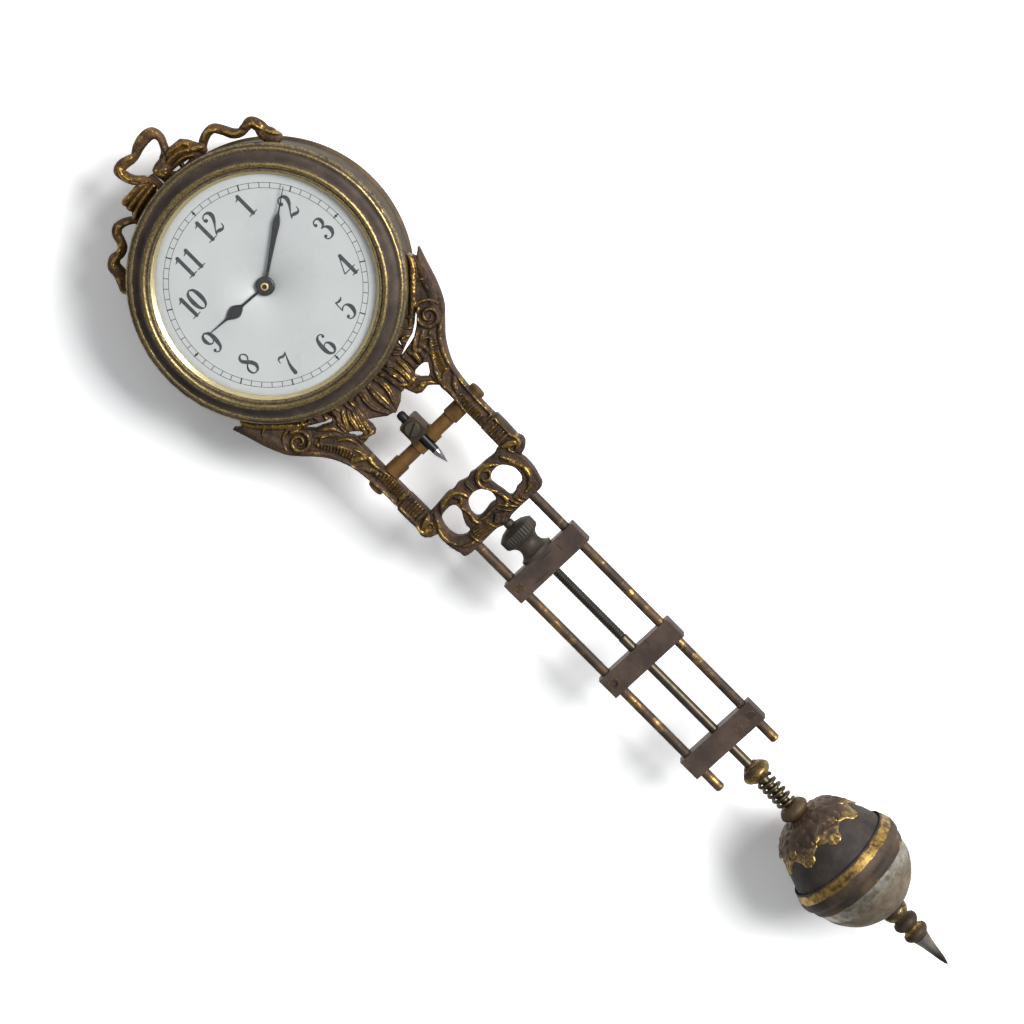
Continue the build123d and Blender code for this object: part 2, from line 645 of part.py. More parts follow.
PIN_HOLE_R = 0.9
RIVET_R = PIN_HOLE_R - SEAT
pieces["top_bar"] = make_bar(TOP_BAR, ROD_R + SEAT, THREAD_R + RUN, -1)
pieces["middle_bar"] = make_bar(MIDDLE_BAR, ROD_R + RUN, ROD_R + SEAT, -1)
pieces["bottom_bar"] = make_bar(BOTTOM_BAR, ROD_R + SEAT, ROD_R + RUN, 1)

# Pins that hold the top and bottom bars on their rods
with BuildPart() as bar_pins:
    for x, top in ((-ROD_X, TOP_BAR), (ROD_X, BOTTOM_BAR)):
        with BuildSketch(facing(x, -ROD_R - 0.3, top - BAR_H / 2)):
            Circle(RIVET_R)
        extrude(amount=BAR_DEEP / 2 - ROD_R - 0.2)
pieces["bar_pins"] = bar_pins

# Rating nut: blind knob, knurled disc, waist and bell flange
NUT_BORE_TOP = -23.2
with BuildPart() as rating_nut:
    with BuildSketch(Plane.XZ):
        with BuildLine():
            Polyline(
                (0, NUT_TOP), (0.9, NUT_TOP), (1.35, NUT_TOP - 0.45), (1.35, NUT_TOP - 1.5),
                (3.3, -22.9), (4.5, -23.6), (NUT_R, -24.1), (NUT_R, -26.3), (4.8, -26.9))
            ThreePointArc((4.8, -26.9), (3.05, -29.3), (4.6, -31.4))
            Polyline(
                (4.6, -31.4), (4.75, -31.8), (4.4, TOP_BAR), (THREAD_R + RUN, TOP_BAR),
                (THREAD_R + RUN, NUT_BORE_TOP), (0, NUT_BORE_TOP), (0, NUT_TOP))
        make_face()
    revolve(axis=Axis.Z)
    with BuildSketch(Plane.XY.offset(-26.3)):
        with PolarLocations(NUT_R, KNURLS):
            Rectangle(0.3, 0.4, rotation=45)
    extrude(amount=2.2, mode=Mode.SUBTRACT)
pieces["rating_nut"] = rating_nut

# Centre rod: ringed thread above, plain below, threaded again in the finial
thread_points = [(0, CENTRE_ROD_TOP)]
threads = int((CENTRE_ROD_TOP - THREAD_END) / THREAD_PITCH)
for k in range(threads):
    crest = CENTRE_ROD_TOP - (k + 0.25) * THREAD_PITCH
    thread_points += [(THREAD_R - THREAD_DEEP, crest + 0.25 * THREAD_PITCH), (THREAD_R, crest),
                      (THREAD_R, crest - 0.25 * THREAD_PITCH)]
ROD_NECK = -160.2
with BuildPart() as centre_rod:
    revolve(outline(Plane.XZ, [
        *thread_points, (THREAD_R - THREAD_DEEP, THREAD_END), (ROD_R, THREAD_END - 0.3), (ROD_R, ROD_NECK),
        (THREAD_R, ROD_NECK - 0.2), (THREAD_R, CENTRE_ROD_BOTTOM + 0.3), (THREAD_R - 0.3, CENTRE_ROD_BOTTOM),
        (0, CENTRE_ROD_BOTTOM)]), axis=Axis.Z)
pieces["centre_rod"] = centre_rod

# Upper collar, fixed on the rod
with BuildPart() as upper_collar:
    top = UPPER_COLLAR_TOP
    with BuildSketch(Plane.XZ):
        with BuildLine():
            Line((ROD_R + SEAT, top - UPPER_COLLAR_H), (ROD_R + SEAT, top))
            Line((ROD_R + SEAT, top), (1.9, top))
            Spline(
                (1.9, top), (3.0, top - 1.0), (4.0, top - 2.7), (3.4, top - 4.0),
                (2.6, top - UPPER_COLLAR_H))
            Line((2.6, top - UPPER_COLLAR_H), (ROD_R + SEAT, top - UPPER_COLLAR_H))
        make_face()
    revolve(axis=Axis.Z)
pieces["upper_collar"] = upper_collar

# Lower collar, the neck of the bob
with BuildPart() as lower_collar:
    top = LOWER_COLLAR_TOP
    bottom = top - LOWER_COLLAR_H
    with BuildSketch(Plane.XZ):
        with BuildLine():
            Line((ROD_R + RUN, bottom), (ROD_R + RUN, top))
            Line((ROD_R + RUN, top), (2.4, top))
            Spline((2.4, top), (3.4, top - 0.8), (4.1, top - 2.1), (3.4, top - 3.3), (2.3, bottom))
            Line((2.3, bottom), (ROD_R + RUN, bottom))
        make_face()
    revolve(axis=Axis.Z)
pieces["lower_collar"] = lower_collar

# Spring between the collars, one round tube swept along biarcs of a quarter turn
coil_top = UPPER_COLLAR_TOP - UPPER_COLLAR_H - WIRE_R - 0.05
coil_bottom = LOWER_COLLAR_TOP + WIRE_R + 0.05
coil_pitch = (coil_top - coil_bottom) / COIL_TURNS


def coil_point(turns):
    a = 2 * math.pi * turns
    return Vector(COIL_R * math.cos(a), COIL_R * math.sin(a), coil_top - coil_pitch * turns)


def coil_way(turns):
    a = 2 * math.pi * turns
    around = 2 * math.pi * COIL_R
    return Vector(-around * math.sin(a), around * math.cos(a), -coil_pitch).normalized()


with BuildPart() as bob_spring:
    with BuildLine() as coil:
        for k in range(4 * COIL_TURNS):
            biarc(coil_point(k / 4), coil_way(k / 4), coil_point((k + 1) / 4), coil_way((k + 1) / 4))
    with BuildSketch(Plane(origin=coil_point(0), x_dir=(1, 0, 0), z_dir=coil_way(0))):
        Circle(WIRE_R)
    sweep(path=coil.line)
pieces["bob_spring"] = bob_spring
steps = [coil_point(k / 90) for k in range(90 * COIL_TURNS + 1)]
gap = min((steps[j] - steps[i]).length for i in range(0, 91, 3) for j in range(i + 45, i + 136))
print(f"spring: least gap between turns {gap - 2 * WIRE_R:.2f} mm")

# Bob: two brass shells, closed by the band, round a lead core
BOB_BORE = ROD_R + RUN
dome = [(2.4, BOB_TOP), (7.0, -129.7), (10.0, -132.7), (12.5, -137.6), (14.0, -141.6), (BOB_R, -144.6)]
bowl = [(BOB_R, -149.2), (13.5, -154.6), (10.7, -158.8), (6.6, -161.8), (3.2, BOB_BOTTOM)]


def shrink(points, by):
    """The curve's points drawn in towards the axis and the equator by a wall."""
    moved = []
    for r, z in points:
        lift = by if z < EQUATOR else -by
        moved.append((max(r - by * min(1, r / 9), BOB_BORE + 0.2), z + lift * (1 - r / (BOB_R + 0.5))))
    return moved


with BuildPart() as bob_upper:
    with BuildSketch(Plane.XZ):
        with BuildLine():
            inner = shrink(dome, SHELL_T)
            Spline(*dome)
            Polyline(dome[-1], (BOB_R, EQUATOR), (BOB_R - SHELL_T, EQUATOR), inner[-1])
            Spline(*inner[::-1])
            Polyline(inner[0], (BOB_BORE, inner[0][1]), (BOB_BORE, BOB_TOP), dome[0])
        make_face()
    revolve(axis=Axis.Z)
pieces["bob_upper"] = bob_upper

with BuildPart() as bob_lower:
    with BuildSketch(Plane.XZ):
        with BuildLine():
            inner = shrink(bowl, SHELL_T)
            Spline(*bowl)
            Polyline(bowl[-1], (BOB_BORE, BOB_BOTTOM), (BOB_BORE, inner[-1][1]), inner[-1])
            Spline(*inner[::-1])
            Polyline(inner[0], (BOB_R - SHELL_T, EQUATOR), (BOB_R, EQUATOR), bowl[0])
        make_face()
    revolve(axis=Axis.Z)
pieces["bob_lower"] = bob_lower

with BuildPart() as bob_band:
    revolve(outline(Plane.XZ, [
        (BOB_R + SEAT, BAND_TOP - 1.2), (BOB_R + 0.3, BAND_TOP), (BAND_R, BAND_TOP - 2.3), (BAND_R, -148.5),
        (BOB_R + 0.3, BAND_BOTTOM), (BOB_R + SEAT, BAND_BOTTOM + 1.4)]), axis=Axis.Z)
pieces["bob_band"] = bob_band

CORE_TOP = -138.0
CORE_BOTTOM = -155.4
with BuildPart() as bob_core:
    revolve(outline(Plane.XZ, [
        (BOB_BORE, CORE_TOP), (CORE_R, CORE_TOP), (BOB_R - SHELL_T - SEAT, EQUATOR + 1.2),
        (BOB_R - SHELL_T - SEAT, EQUATOR - 2.0), (CORE_R + 1.4, CORE_BOTTOM), (BOB_BORE, CORE_BOTTOM)]),
        axis=Axis.Z)
pieces["bob_core"] = bob_core

# Raised leaves over the upper shell, one rosette
with BuildPart() as bob_leaves:
    crown = [(r + SEAT, z + SEAT) for r, z in dome]
    swell = [(r + LEAF_T * min(1, r / 6), z + LEAF_T * (1 - r / BOB_R)) for r, z in dome]
    with BuildSketch(Plane.XZ):
        with BuildLine():
            Spline(*crown)
            Line(crown[-1], swell[-1])
            Spline(*swell[::-1])
            Line(swell[0], crown[0])
        make_face()
    revolve(axis=Axis.Z)
    with BuildSketch(Plane.XY.offset(BOB_TOP + 2)):
        Circle(8.0)
        with PolarLocations(0, LEAVES):
            with Locations((8.0, 0)):
                Ellipse(6.2, 3.4)
    extrude(amount=-18, mode=Mode.INTERSECT)
    with BuildSketch(Plane.XY.offset(BOB_TOP + 2)):
        Circle(3.4)
    extrude(amount=-18, mode=Mode.SUBTRACT)
pieces["bob_leaves"] = bob_leaves

# Turned finial, threaded on the rod's end under the bob
FINIAL_R = 3.5
FINIAL_BORE = -172.0
with BuildPart() as finial:
    with BuildSketch(Plane.XZ):
        with BuildLine():
            Line((THREAD_R + RUN, BOB_BOTTOM), (FINIAL_R, BOB_BOTTOM))
            Spline((FINIAL_R, BOB_BOTTOM), (FINIAL_R, -164.6), (2.25, -166.4))
            Spline((2.25, -166.4), (3.2, -167.3), (FINIAL_R, -168.3), (3.1, -169.2), (2.2, -170.0))
            Spline((2.2, -170.0), (3.2, -171.0), (FINIAL_R, -172.0), (3.1, -172.9), (2.35, -173.8))
            Spline((2.35, -173.8), (1.63, -176.6), (1.2, -179.3), (0.8, -181.9), (0, FINIAL_TIP))
            Polyline(
                (0, FINIAL_TIP), (0, FINIAL_BORE), (THREAD_R + RUN, FINIAL_BORE),
                (THREAD_R + RUN, BOB_BOTTOM))
        make_face()
    revolve(axis=Axis.Z)
pieces["finial"] = finial

# Movement plates
STUD_R = 0.4
with BuildPart() as front_plate:
    with BuildSketch(facing(0, FLANGE_Y, 0)):
        with Locations((0, CASE_Z)):
            Circle(FRONT_PLATE_R)
            Circle(CENTRE_R + RUN, mode=Mode.SUBTRACT)
        with Locations((third_x, third_z), (0, escape_z), (0, anchor_z)):
            Circle(PIVOT_R + RUN, mode=Mode.SUBTRACT)
        with Locations((barrel_x, barrel_z)):
            Circle(CENTRE_R + RUN, mode=Mode.SUBTRACT)
        with Locations(*[polar(DIAL_FOOT_PCD_R, turn) for turn in (30, 150, 270)]):
            Circle(DIAL_FOOT_R + SEAT, mode=Mode.SUBTRACT)
        with Locations(*[polar(CASE_SCREW_PCD_R, turn) for turn in (80, 200, 320)]):
            Circle(SCREW_R + SEAT, mode=Mode.SUBTRACT)
    extrude(amount=PLATE_T)
    with BuildSketch(facing(0, PLATE_FRONT, minute_z)):
        Circle(STUD_R)
    extrude(amount=2.5)
pieces["front_plate"] = front_plate

with BuildPart() as back_plate:
    with BuildSketch(facing(0, BACK_PLATE_BACK, 0)):
        with Locations((0, CASE_Z)):
            Circle(BACK_PLATE_R)
            Circle(CENTRE_R + RUN, mode=Mode.SUBTRACT)
        with Locations((third_x, third_z), (0, escape_z)):
            Circle(PIVOT_R + RUN, mode=Mode.SUBTRACT)
        with Locations((0, anchor_z)):
            Circle(ARBOR_R + FREE, mode=Mode.SUBTRACT)
        with Locations((barrel_x, barrel_z)):
            Circle(WIND_R + RUN, mode=Mode.SUBTRACT)
        with Locations(*[polar(PILLAR_PCD_R, turn) for turn in PILLAR_ANGLES]):
            Circle(SCREW_R + SEAT, mode=Mode.SUBTRACT)
    extrude(amount=PLATE_T)
pieces["back_plate"] = back_plate

with BuildPart() as pillars:
    for turn in PILLAR_ANGLES:
        x, z = polar(PILLAR_PCD_R, turn)
        with BuildSketch(facing(x, BACK_PLATE_Y, z)):
            Circle(PILLAR_R)
        extrude(amount=PLATE_GAP)
        with BuildSketch(facing(x, BACK_PLATE_Y, z)):
            Circle(SCREW_R + SEAT)
        extrude(amount=3, mode=Mode.SUBTRACT)
pieces["pillars"] = pillars

# Screws of the movement: four into the pillars, three through the front plate into the ledge
with BuildPart() as plate_screws:
    for turn in PILLAR_ANGLES:
        x, z = polar(PILLAR_PCD_R, turn)
        with BuildSketch(facing(x, BACK_PLATE_BACK, z)):
            Circle(SCREW_R)
        extrude(amount=PLATE_T + 2.6)
        with BuildSketch(facing(x, BACK_PLATE_BACK + SCREW_HEAD_T, z)):
            Circle(SCREW_HEAD_R)
            Rectangle(2 * SCREW_HEAD_R, 0.35, mode=Mode.SUBTRACT)
        extrude(amount=SCREW_HEAD_T)
    for turn in (80, 200, 320):
        x, z = polar(CASE_SCREW_PCD_R, turn)
        with BuildSketch(facing(x, FLANGE_Y + LEDGE_T - 0.1, z)):
            Circle(SCREW_R - SEAT)
        extrude(amount=LEDGE_T + PLATE_T - 0.1)
        with BuildSketch(facing(x, PLATE_FRONT, z)):
            Circle(SCREW_HEAD_R)
        extrude(amount=SCREW_HEAD_T - 0.2)
pieces["plate_screws"] = plate_screws

# Anchor cock behind the back plate, on two legs with their screws
COCK_HALF = 6.4
COCK_Y = 11.3
COCK_T = 0.6
with BuildPart() as anchor_cock:
    with BuildSketch(facing(0, COCK_Y + COCK_T, anchor_z)):
        SlotOverall(2 * COCK_HALF + 3.2, 3.2)
        Circle(PIVOT_R + RUN, mode=Mode.SUBTRACT)
    extrude(amount=COCK_T)
    for side in (-1, 1):
        with BuildSketch(facing(side * COCK_HALF, COCK_Y, anchor_z)):
            Circle(1.5)
        extrude(amount=COCK_Y - BACK_PLATE_BACK)
        with BuildSketch(facing(side * COCK_HALF, COCK_Y + COCK_T + 0.4, anchor_z)):
            Circle(1.1)
            Rectangle(2.2, 0.3, mode=Mode.SUBTRACT)
        extrude(amount=0.4)
pieces["anchor_cock"] = anchor_cock

# Centre arbor with its pinion, carried through both plates to the rear knob
GREAT_Y = 0.6
CENTRE_Y = 6.6
KNOB_Y = 14.3
HAND_Y = -6.4
with BuildPart() as centre_arbor:
    with BuildSketch(facing(0, KNOB_Y + 1.6, CASE_Z)):
        Circle(CENTRE_R)
    extrude(amount=KNOB_Y + 1.6 - HAND_Y)
    with BuildSketch(facing(0, HAND_Y, CASE_Z)):
        Circle(CENTRE_R - 0.3)
    extrude(amount=0.6)
    extrude(toothed(facing(0, GREAT_Y + GREAT_T + 0.3, CASE_Z), CENTRE_PINION, TRAIN_MODULE,
                    BARREL_TURN + 180 / CENTRE_PINION), amount=GREAT_T + 0.6)
    with BuildSketch(facing(0, CENTRE_Y, CASE_Z)):
        Circle(1.8)
    extrude(amount=0.5)
pieces["centre_arbor"] = centre_arbor


def crossed(wheel_plane, rim_r, hub_r, arms=5):
    """Openings of a crossed-out wheel, between its rim and its hub."""
    middle = (rim_r + hub_r) / 2
    with BuildSketch(wheel_plane) as gaps:
        with PolarLocations(middle, arms):
            Circle((rim_r - hub_r) / 2 * 0.92)
    return gaps.sketch


with BuildPart() as centre_wheel:
    place = facing(0, CENTRE_Y + WHEEL_T, CASE_Z)
    extrude(toothed(place, CENTRE_TEETH, TRAIN_MODULE, third_turn), amount=WHEEL_T)
    extrude(crossed(place, 9.6, 3.2, 6), amount=WHEEL_T, mode=Mode.SUBTRACT)
    with BuildSketch(place):
        Circle(CENTRE_R + SEAT)
    extrude(amount=WHEEL_T, mode=Mode.SUBTRACT)
pieces["centre_wheel"] = centre_wheel

# Motion work
CANNON_Y = -1.9
PIPE_R = 1.2
HOUR_PIPE_R = 1.62
with BuildPart() as cannon_pinion:
    with BuildSketch(facing(0, PLATE_FRONT - 0.1, CASE_Z)):
        Circle(PIPE_R)
    extrude(amount=PLATE_FRONT - 0.1 - HAND_Y - HAND_T)
    extrude(toothed(facing(0, CANNON_Y, CASE_Z), CANNON_TEETH, CANNON_MODULE, -90 + 180 / CANNON_TEETH),
            amount=1.1)
    with BuildSketch(facing(0, PLATE_FRONT, CASE_Z)):
        Circle(CENTRE_R + SEAT)
    extrude(amount=6, mode=Mode.SUBTRACT)
pieces["cannon_pinion"] = cannon_pinion

with BuildPart() as minute_wheel:
    extrude(toothed(facing(0, CANNON_Y - 0.3, minute_z), MINUTE_TEETH, CANNON_MODULE, 90), amount=WHEEL_T)
    extrude(toothed(facing(0, CANNON_Y - 0.6, minute_z), MINUTE_PINION, HOUR_MODULE,
                    90 + 180 / MINUTE_PINION), amount=1.3)
    with BuildSketch(facing(0, PLATE_FRONT, minute_z)):
        Circle(STUD_R + RUN)
    extrude(amount=4, mode=Mode.SUBTRACT)
pieces["minute_wheel"] = minute_wheel

HOUR_Y = -3.15
with BuildPart() as hour_wheel:
    extrude(toothed(facing(0, HOUR_Y, CASE_Z), HOUR_TEETH, HOUR_MODULE, -90), amount=WHEEL_T)
    with BuildSketch(facing(0, HOUR_Y, CASE_Z)):
        Circle(HOUR_PIPE_R)
    extrude(amount=HOUR_Y + 5.8)
    with BuildSketch(facing(0, PLATE_FRONT, CASE_Z)):
        Circle(PIPE_R + RUN)
    extrude(amount=6, mode=Mode.SUBTRACT)
pieces["hour_wheel"] = hour_wheel

# Hands, flat steel
HOUR_HAND_Y = -5.55
minute_plane = facing(0, HAND_Y + HAND_T, CASE_Z, 90 - MINUTE_AT)
hour_plane = facing(0, HOUR_HAND_Y, CASE_Z, 90 - HOUR_AT)
with BuildPart() as minute_hand:
    with BuildSketch(minute_plane):
        with BuildLine():
            Polyline(
                (1, 0.42), (10, 0.55), (15.5, 0.85), (17, 0.75), (18.4, 0.3), (MINUTE_LONG, 0.08),
                (MINUTE_LONG, -0.08), (18.4, -0.3), (17, -0.75), (15.5, -0.85), (10, -0.55), (1, -0.42),
                close=True)
        make_face()
        Circle(2.2)
        Circle(CENTRE_R + SEAT, mode=Mode.SUBTRACT)
    extrude(amount=HAND_T)
pieces["minute_hand"] = minute_hand

with BuildPart() as hour_hand:
    with BuildSketch(hour_plane):
        with BuildLine():
            Polyline(
                (1, 0.4), (7.6, 0.35), (12.4, 0.3), (HOUR_LONG, 0.08), (HOUR_LONG, -0.08), (12.4, -0.3),
                (7.6, -0.35), (1, -0.4), close=True)
        make_face()
        with Locations((10, 0)):
            Ellipse(2.4, 1.6)
        Circle(2.4)
        Circle(HOUR_PIPE_R + SEAT, mode=Mode.SUBTRACT)
    extrude(amount=HAND_T)
pieces["hour_hand"] = hour_hand

with BuildPart() as hand_collet:
    with BuildSketch(facing(0, HAND_Y, CASE_Z)):
        Circle(0.95)
        Circle(CENTRE_R - 0.3 + SEAT, mode=Mode.SUBTRACT)
    extrude(amount=0.7)
    chamfer(hand_collet.edges().group_by(Axis.Y)[0], 0.15)
pieces["hand_collet"] = hand_collet

with BuildPart() as set_knob:
    with BuildSketch(facing(0, KNOB_Y + 2.2, CASE_Z)):
        Circle(3.2)
        with PolarLocations(3.2, 24):
            Rectangle(0.3, 0.3, rotation=45, mode=Mode.SUBTRACT)
    extrude(amount=2.2)
    with BuildSketch(facing(0, KNOB_Y + 1.6, CASE_Z)):
        Circle(CENTRE_R + SEAT)
    extrude(amount=1.6, mode=Mode.SUBTRACT)
pieces["set_knob"] = set_knob

# Third wheel with its pinion on one arbor
THIRD_Y = 2.0
END_PLAY = 0.15
with BuildPart() as third_wheel:
    place = facing(third_x, THIRD_Y + WHEEL_T, third_z)
    extrude(toothed(place, THIRD_TEETH, FINE_MODULE, escape_turn), amount=WHEEL_T)
    extrude(crossed(place, 7.6, 1.8), amount=WHEEL_T, mode=Mode.SUBTRACT)
    extrude(toothed(facing(third_x, CENTRE_Y + WHEEL_T + 0.3, third_z), THIRD_PINION, TRAIN_MODULE,
                    third_turn + 180 + 180 / THIRD_PINION), amount=WHEEL_T + 0.6)
    with BuildSketch(facing(third_x, BACK_PLATE_Y - END_PLAY, third_z)):
        Circle(ARBOR_R)
    extrude(amount=PLATE_GAP - 2 * END_PLAY)
    with BuildSketch(facing(third_x, BACK_PLATE_BACK, third_z)):
        Circle(PIVOT_R)
    extrude(amount=PLATE_GAP + 2 * PLATE_T)
pieces["third_wheel"] = third_wheel

# Escape wheel: pointed teeth, pinion and arbor
ESCAPE_Y = 4.3
with BuildPart() as escape_wheel:
    points = []
    for k in range(ESCAPE_TEETH):
        middle = 2 * math.pi * k / ESCAPE_TEETH
        for radius, lead in ((ESCAPE_R - 0.9, -0.04), (ESCAPE_R, -0.02), (ESCAPE_R, 0), (ESCAPE_R - 0.9, 0.11)):
            points.append((radius * math.cos(middle + lead), radius * math.sin(middle + lead)))
    place = facing(0, ESCAPE_Y + WHEEL_T, escape_z)
    extrude(outline(place, points), amount=WHEEL_T)
    extrude(crossed(place, 4.6, 1.3), amount=WHEEL_T, mode=Mode.SUBTRACT)
    extrude(toothed(facing(0, THIRD_Y + WHEEL_T + 0.2, escape_z), ESCAPE_PINION, FINE_MODULE,
                    escape_turn + 180 + 180 / ESCAPE_PINION), amount=WHEEL_T + 0.4)
    with BuildSketch(facing(0, BACK_PLATE_Y - END_PLAY, escape_z)):
        Circle(ARBOR_R)
    extrude(amount=PLATE_GAP - 2 * END_PLAY)
    with BuildSketch(facing(0, BACK_PLATE_BACK, escape_z)):
        Circle(PIVOT_R)
    extrude(amount=PLATE_GAP + 2 * PLATE_T)
pieces["escape_wheel"] = escape_wheel

# Pallet anchor on its arbor
PALLET = [(0, 1.3), (3.0, 0.7), (5.6, -1.5), (5.75, -3.6), (4.6, -4.1), (4.3, -2.6), (2.6, -1.0), (0, -1.0)]
with BuildPart() as pallet_anchor:
    with BuildSketch(facing(0, ESCAPE_Y + WHEEL_T + 0.15, anchor_z)):
        with BuildLine():
            Polyline(*PALLET, *[(-x, z) for x, z in PALLET[-2:0:-1]], close=True)
        make_face()
        Circle(ARBOR_R + SEAT, mode=Mode.SUBTRACT)
    extrude(amount=WHEEL_T + 0.3)
pieces["pallet_anchor"] = pallet_anchor

with BuildPart() as anchor_arbor:
    with BuildSketch(facing(0, COCK_Y - END_PLAY, anchor_z)):
        Circle(ARBOR_R)
    extrude(amount=COCK_Y - FLANGE_Y - 2 * END_PLAY)
    with BuildSketch(facing(0, COCK_Y + COCK_T - 0.1, anchor_z)):
        Circle(PIVOT_R)
    extrude(amount=COCK_Y + COCK_T - 0.1 - PLATE_FRONT)
pieces["anchor_arbor"] = anchor_arbor

# Inner pendulum on the back of the anchor arbor
SWING_Y = 10.0
INNER_LONG = 13.0
with BuildPart() as inner_pendulum:
    with BuildSketch(facing(0, SWING_Y + 0.7, anchor_z)):
        Circle(1.3)
        with Locations((0, -INNER_LONG / 2)):
            Rectangle(0.8, INNER_LONG)
        Circle(ARBOR_R + SEAT, mode=Mode.SUBTRACT)
    extrude(amount=0.7)
    with BuildSketch(facing(0, SWING_Y + 1.1, anchor_z - INNER_LONG)):
        Circle(3.6)
    extrude(amount=1.5)
pieces["inner_pendulum"] = inner_pendulum

# Barrel: toothed floor, wall, cap and spring
BARREL_TOP = GREAT_Y + GREAT_T + BARREL_DEEP
with BuildPart() as barrel:
    extrude(toothed(facing(barrel_x, GREAT_Y + GREAT_T, barrel_z), GREAT_TEETH, TRAIN_MODULE,
                    BARREL_TURN - 180), amount=GREAT_T)
    with BuildSketch(facing(barrel_x, BARREL_TOP, barrel_z)):
        Circle(BARREL_R)
        Circle(BARREL_R - BARREL_WALL, mode=Mode.SUBTRACT)
    extrude(amount=BARREL_DEEP)
    with BuildSketch(facing(barrel_x, BARREL_TOP, barrel_z)):
        Circle(WIND_R + RUN)
    extrude(amount=BARREL_DEEP + GREAT_T, mode=Mode.SUBTRACT)
pieces["barrel"] = barrel

with BuildPart() as barrel_cap:
    with BuildSketch(facing(barrel_x, BARREL_TOP, barrel_z)):
        Circle(BARREL_R - BARREL_WALL - SEAT)
        Circle(WIND_R + RUN, mode=Mode.SUBTRACT)
    extrude(amount=0.5)
pieces["barrel_cap"] = barrel_cap

# Mainspring: a flat spiral of half turns, each centred a step from the last
STRIP = 0.3
SPIRAL_STEP = 0.42
SPIRAL_IN = 2.1
spiral_halves = int((BARREL_R - BARREL_WALL - STRIP - SPIRAL_IN) / SPIRAL_STEP)
with BuildPart() as mainspring:
    with BuildSketch(facing(barrel_x, BARREL_TOP - 0.7, barrel_z)):
        with BuildLine():
            ends = []
            for edge in (-STRIP / 2, STRIP / 2):
                for k in range(spiral_halves):
                    side = 1 if k % 2 == 0 else -1
                    centre = -SPIRAL_STEP / 2 if k % 2 else SPIRAL_STEP / 2
                    radius = SPIRAL_IN + k * SPIRAL_STEP + edge
                    start = (centre - side * radius, 0)
                    finish = (centre + side * radius, 0)
                    ThreePointArc(start, (centre, side * radius), finish)
                    if k == 0:
                        ends.append(start)
                ends.append(finish)
            Line(ends[0], ends[2])
            Line(ends[1], ends[3])
        make_face()
    extrude(amount=BARREL_DEEP - 0.9)
pieces["mainspring"] = mainspring

# Winding arbor, ratchet wheel and key
RATCHET_Y = BACK_PLATE_BACK + 0.15
KEY_Y = 14.2
with BuildPart() as winding_arbor:
    with BuildSketch(facing(barrel_x, KEY_Y + 2.0, barrel_z)):
        Circle(WIND_R)
    extrude(amount=KEY_Y + 2.0 - FLANGE_Y - END_PLAY)
    with BuildSketch(facing(barrel_x, FLANGE_Y + END_PLAY, barrel_z)):
        Circle(CENTRE_R)
    extrude(amount=END_PLAY + PLATE_T)
pieces["winding_arbor"] = winding_arbor

with BuildPart() as ratchet_wheel:
    points = []
    for k in range(RATCHET_TEETH):
        foot = 2 * math.pi * k / RATCHET_TEETH
        for radius in (RATCHET_R - RATCHET_DEEP, RATCHET_R):
            points.append((radius * math.cos(foot), radius * math.sin(foot)))
    with BuildSketch(facing(barrel_x, RATCHET_Y + RATCHET_T, barrel_z)):
        with BuildLine():
            Polyline(*points, close=True)
        make_face()
        Circle(WIND_R + SEAT, mode=Mode.SUBTRACT)
    extrude(amount=RATCHET_T)
pieces["ratchet_wheel"] = ratchet_wheel

with BuildPart() as winding_key:
    with BuildSketch(facing(barrel_x, KEY_Y + 2.6, barrel_z)):
        Circle(2.3)
    extrude(amount=2.6)
    with BuildSketch(Plane(origin=(barrel_x, 0, barrel_z), x_dir=(1, 0, 0), z_dir=(0, 0, 1))):
        with Locations((-4.2, KEY_Y + 4.4), (4.2, KEY_Y + 4.4)):
            Ellipse(3.6, 2.7)
            Circle(1.2, mode=Mode.SUBTRACT)
        with Locations((0, KEY_Y + 3.2)):
            Rectangle(5, 2)
    extrude(amount=0.6, both=True)
    with BuildSketch(facing(barrel_x, KEY_Y + 2.0, barrel_z)):
        Circle(WIND_R + SEAT)
    extrude(amount=2.0, mode=Mode.SUBTRACT)
pieces["winding_key"] = winding_key

# Click, pivoted on a stud of its own, and its spring
CLICK_X = barrel_x + 5.2
CLICK_Z = barrel_z - 5.4
with BuildPart() as click:
    with BuildSketch(facing(CLICK_X, RATCHET_Y + RATCHET_T, CLICK_Z)):
        Circle(1.2)
        with BuildLine():
            Polyline((-0.9, 0.4), (-1.02, 4.0), (-1.5, 5.34), (-0.95, 5.34), (1.0, 0.4), close=True)
        make_face()
        Circle(0.5 + RUN, mode=Mode.SUBTRACT)
    extrude(amount=RATCHET_T)
pieces["click"] = click

with BuildPart() as click_spring:
    with BuildSketch(facing(CLICK_X, RATCHET_Y + RATCHET_T, CLICK_Z)):
        Circle(0.5)
    extrude(amount=RATCHET_T + 0.15)
    with BuildSketch(facing(CLICK_X, RATCHET_Y + RATCHET_T - 0.2, CLICK_Z)):
        with Locations((3.4, 4.6)):
            Circle(0.7)
        with BuildLine():
            Polyline((3.4, 4.4), (0.35, 4.4), (0.35, 4.65), (3.4, 4.8), close=True)
        make_face()
    extrude(amount=RATCHET_T - 0.2 + 0.15)
pieces["click_spring"] = click_spring

for name, piece in pieces.items():
    piece.part.label = name
    export_step(piece.part, f"parts/{name}.step")
print(len(pieces), "pieces")
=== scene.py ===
"""Swinging clock arm: a drum clock on cast arms, guide rods and a bob, hung on a steel point."""
import math

import bmesh
import bpy
import numpy as np
from mathutils import Matrix, Vector


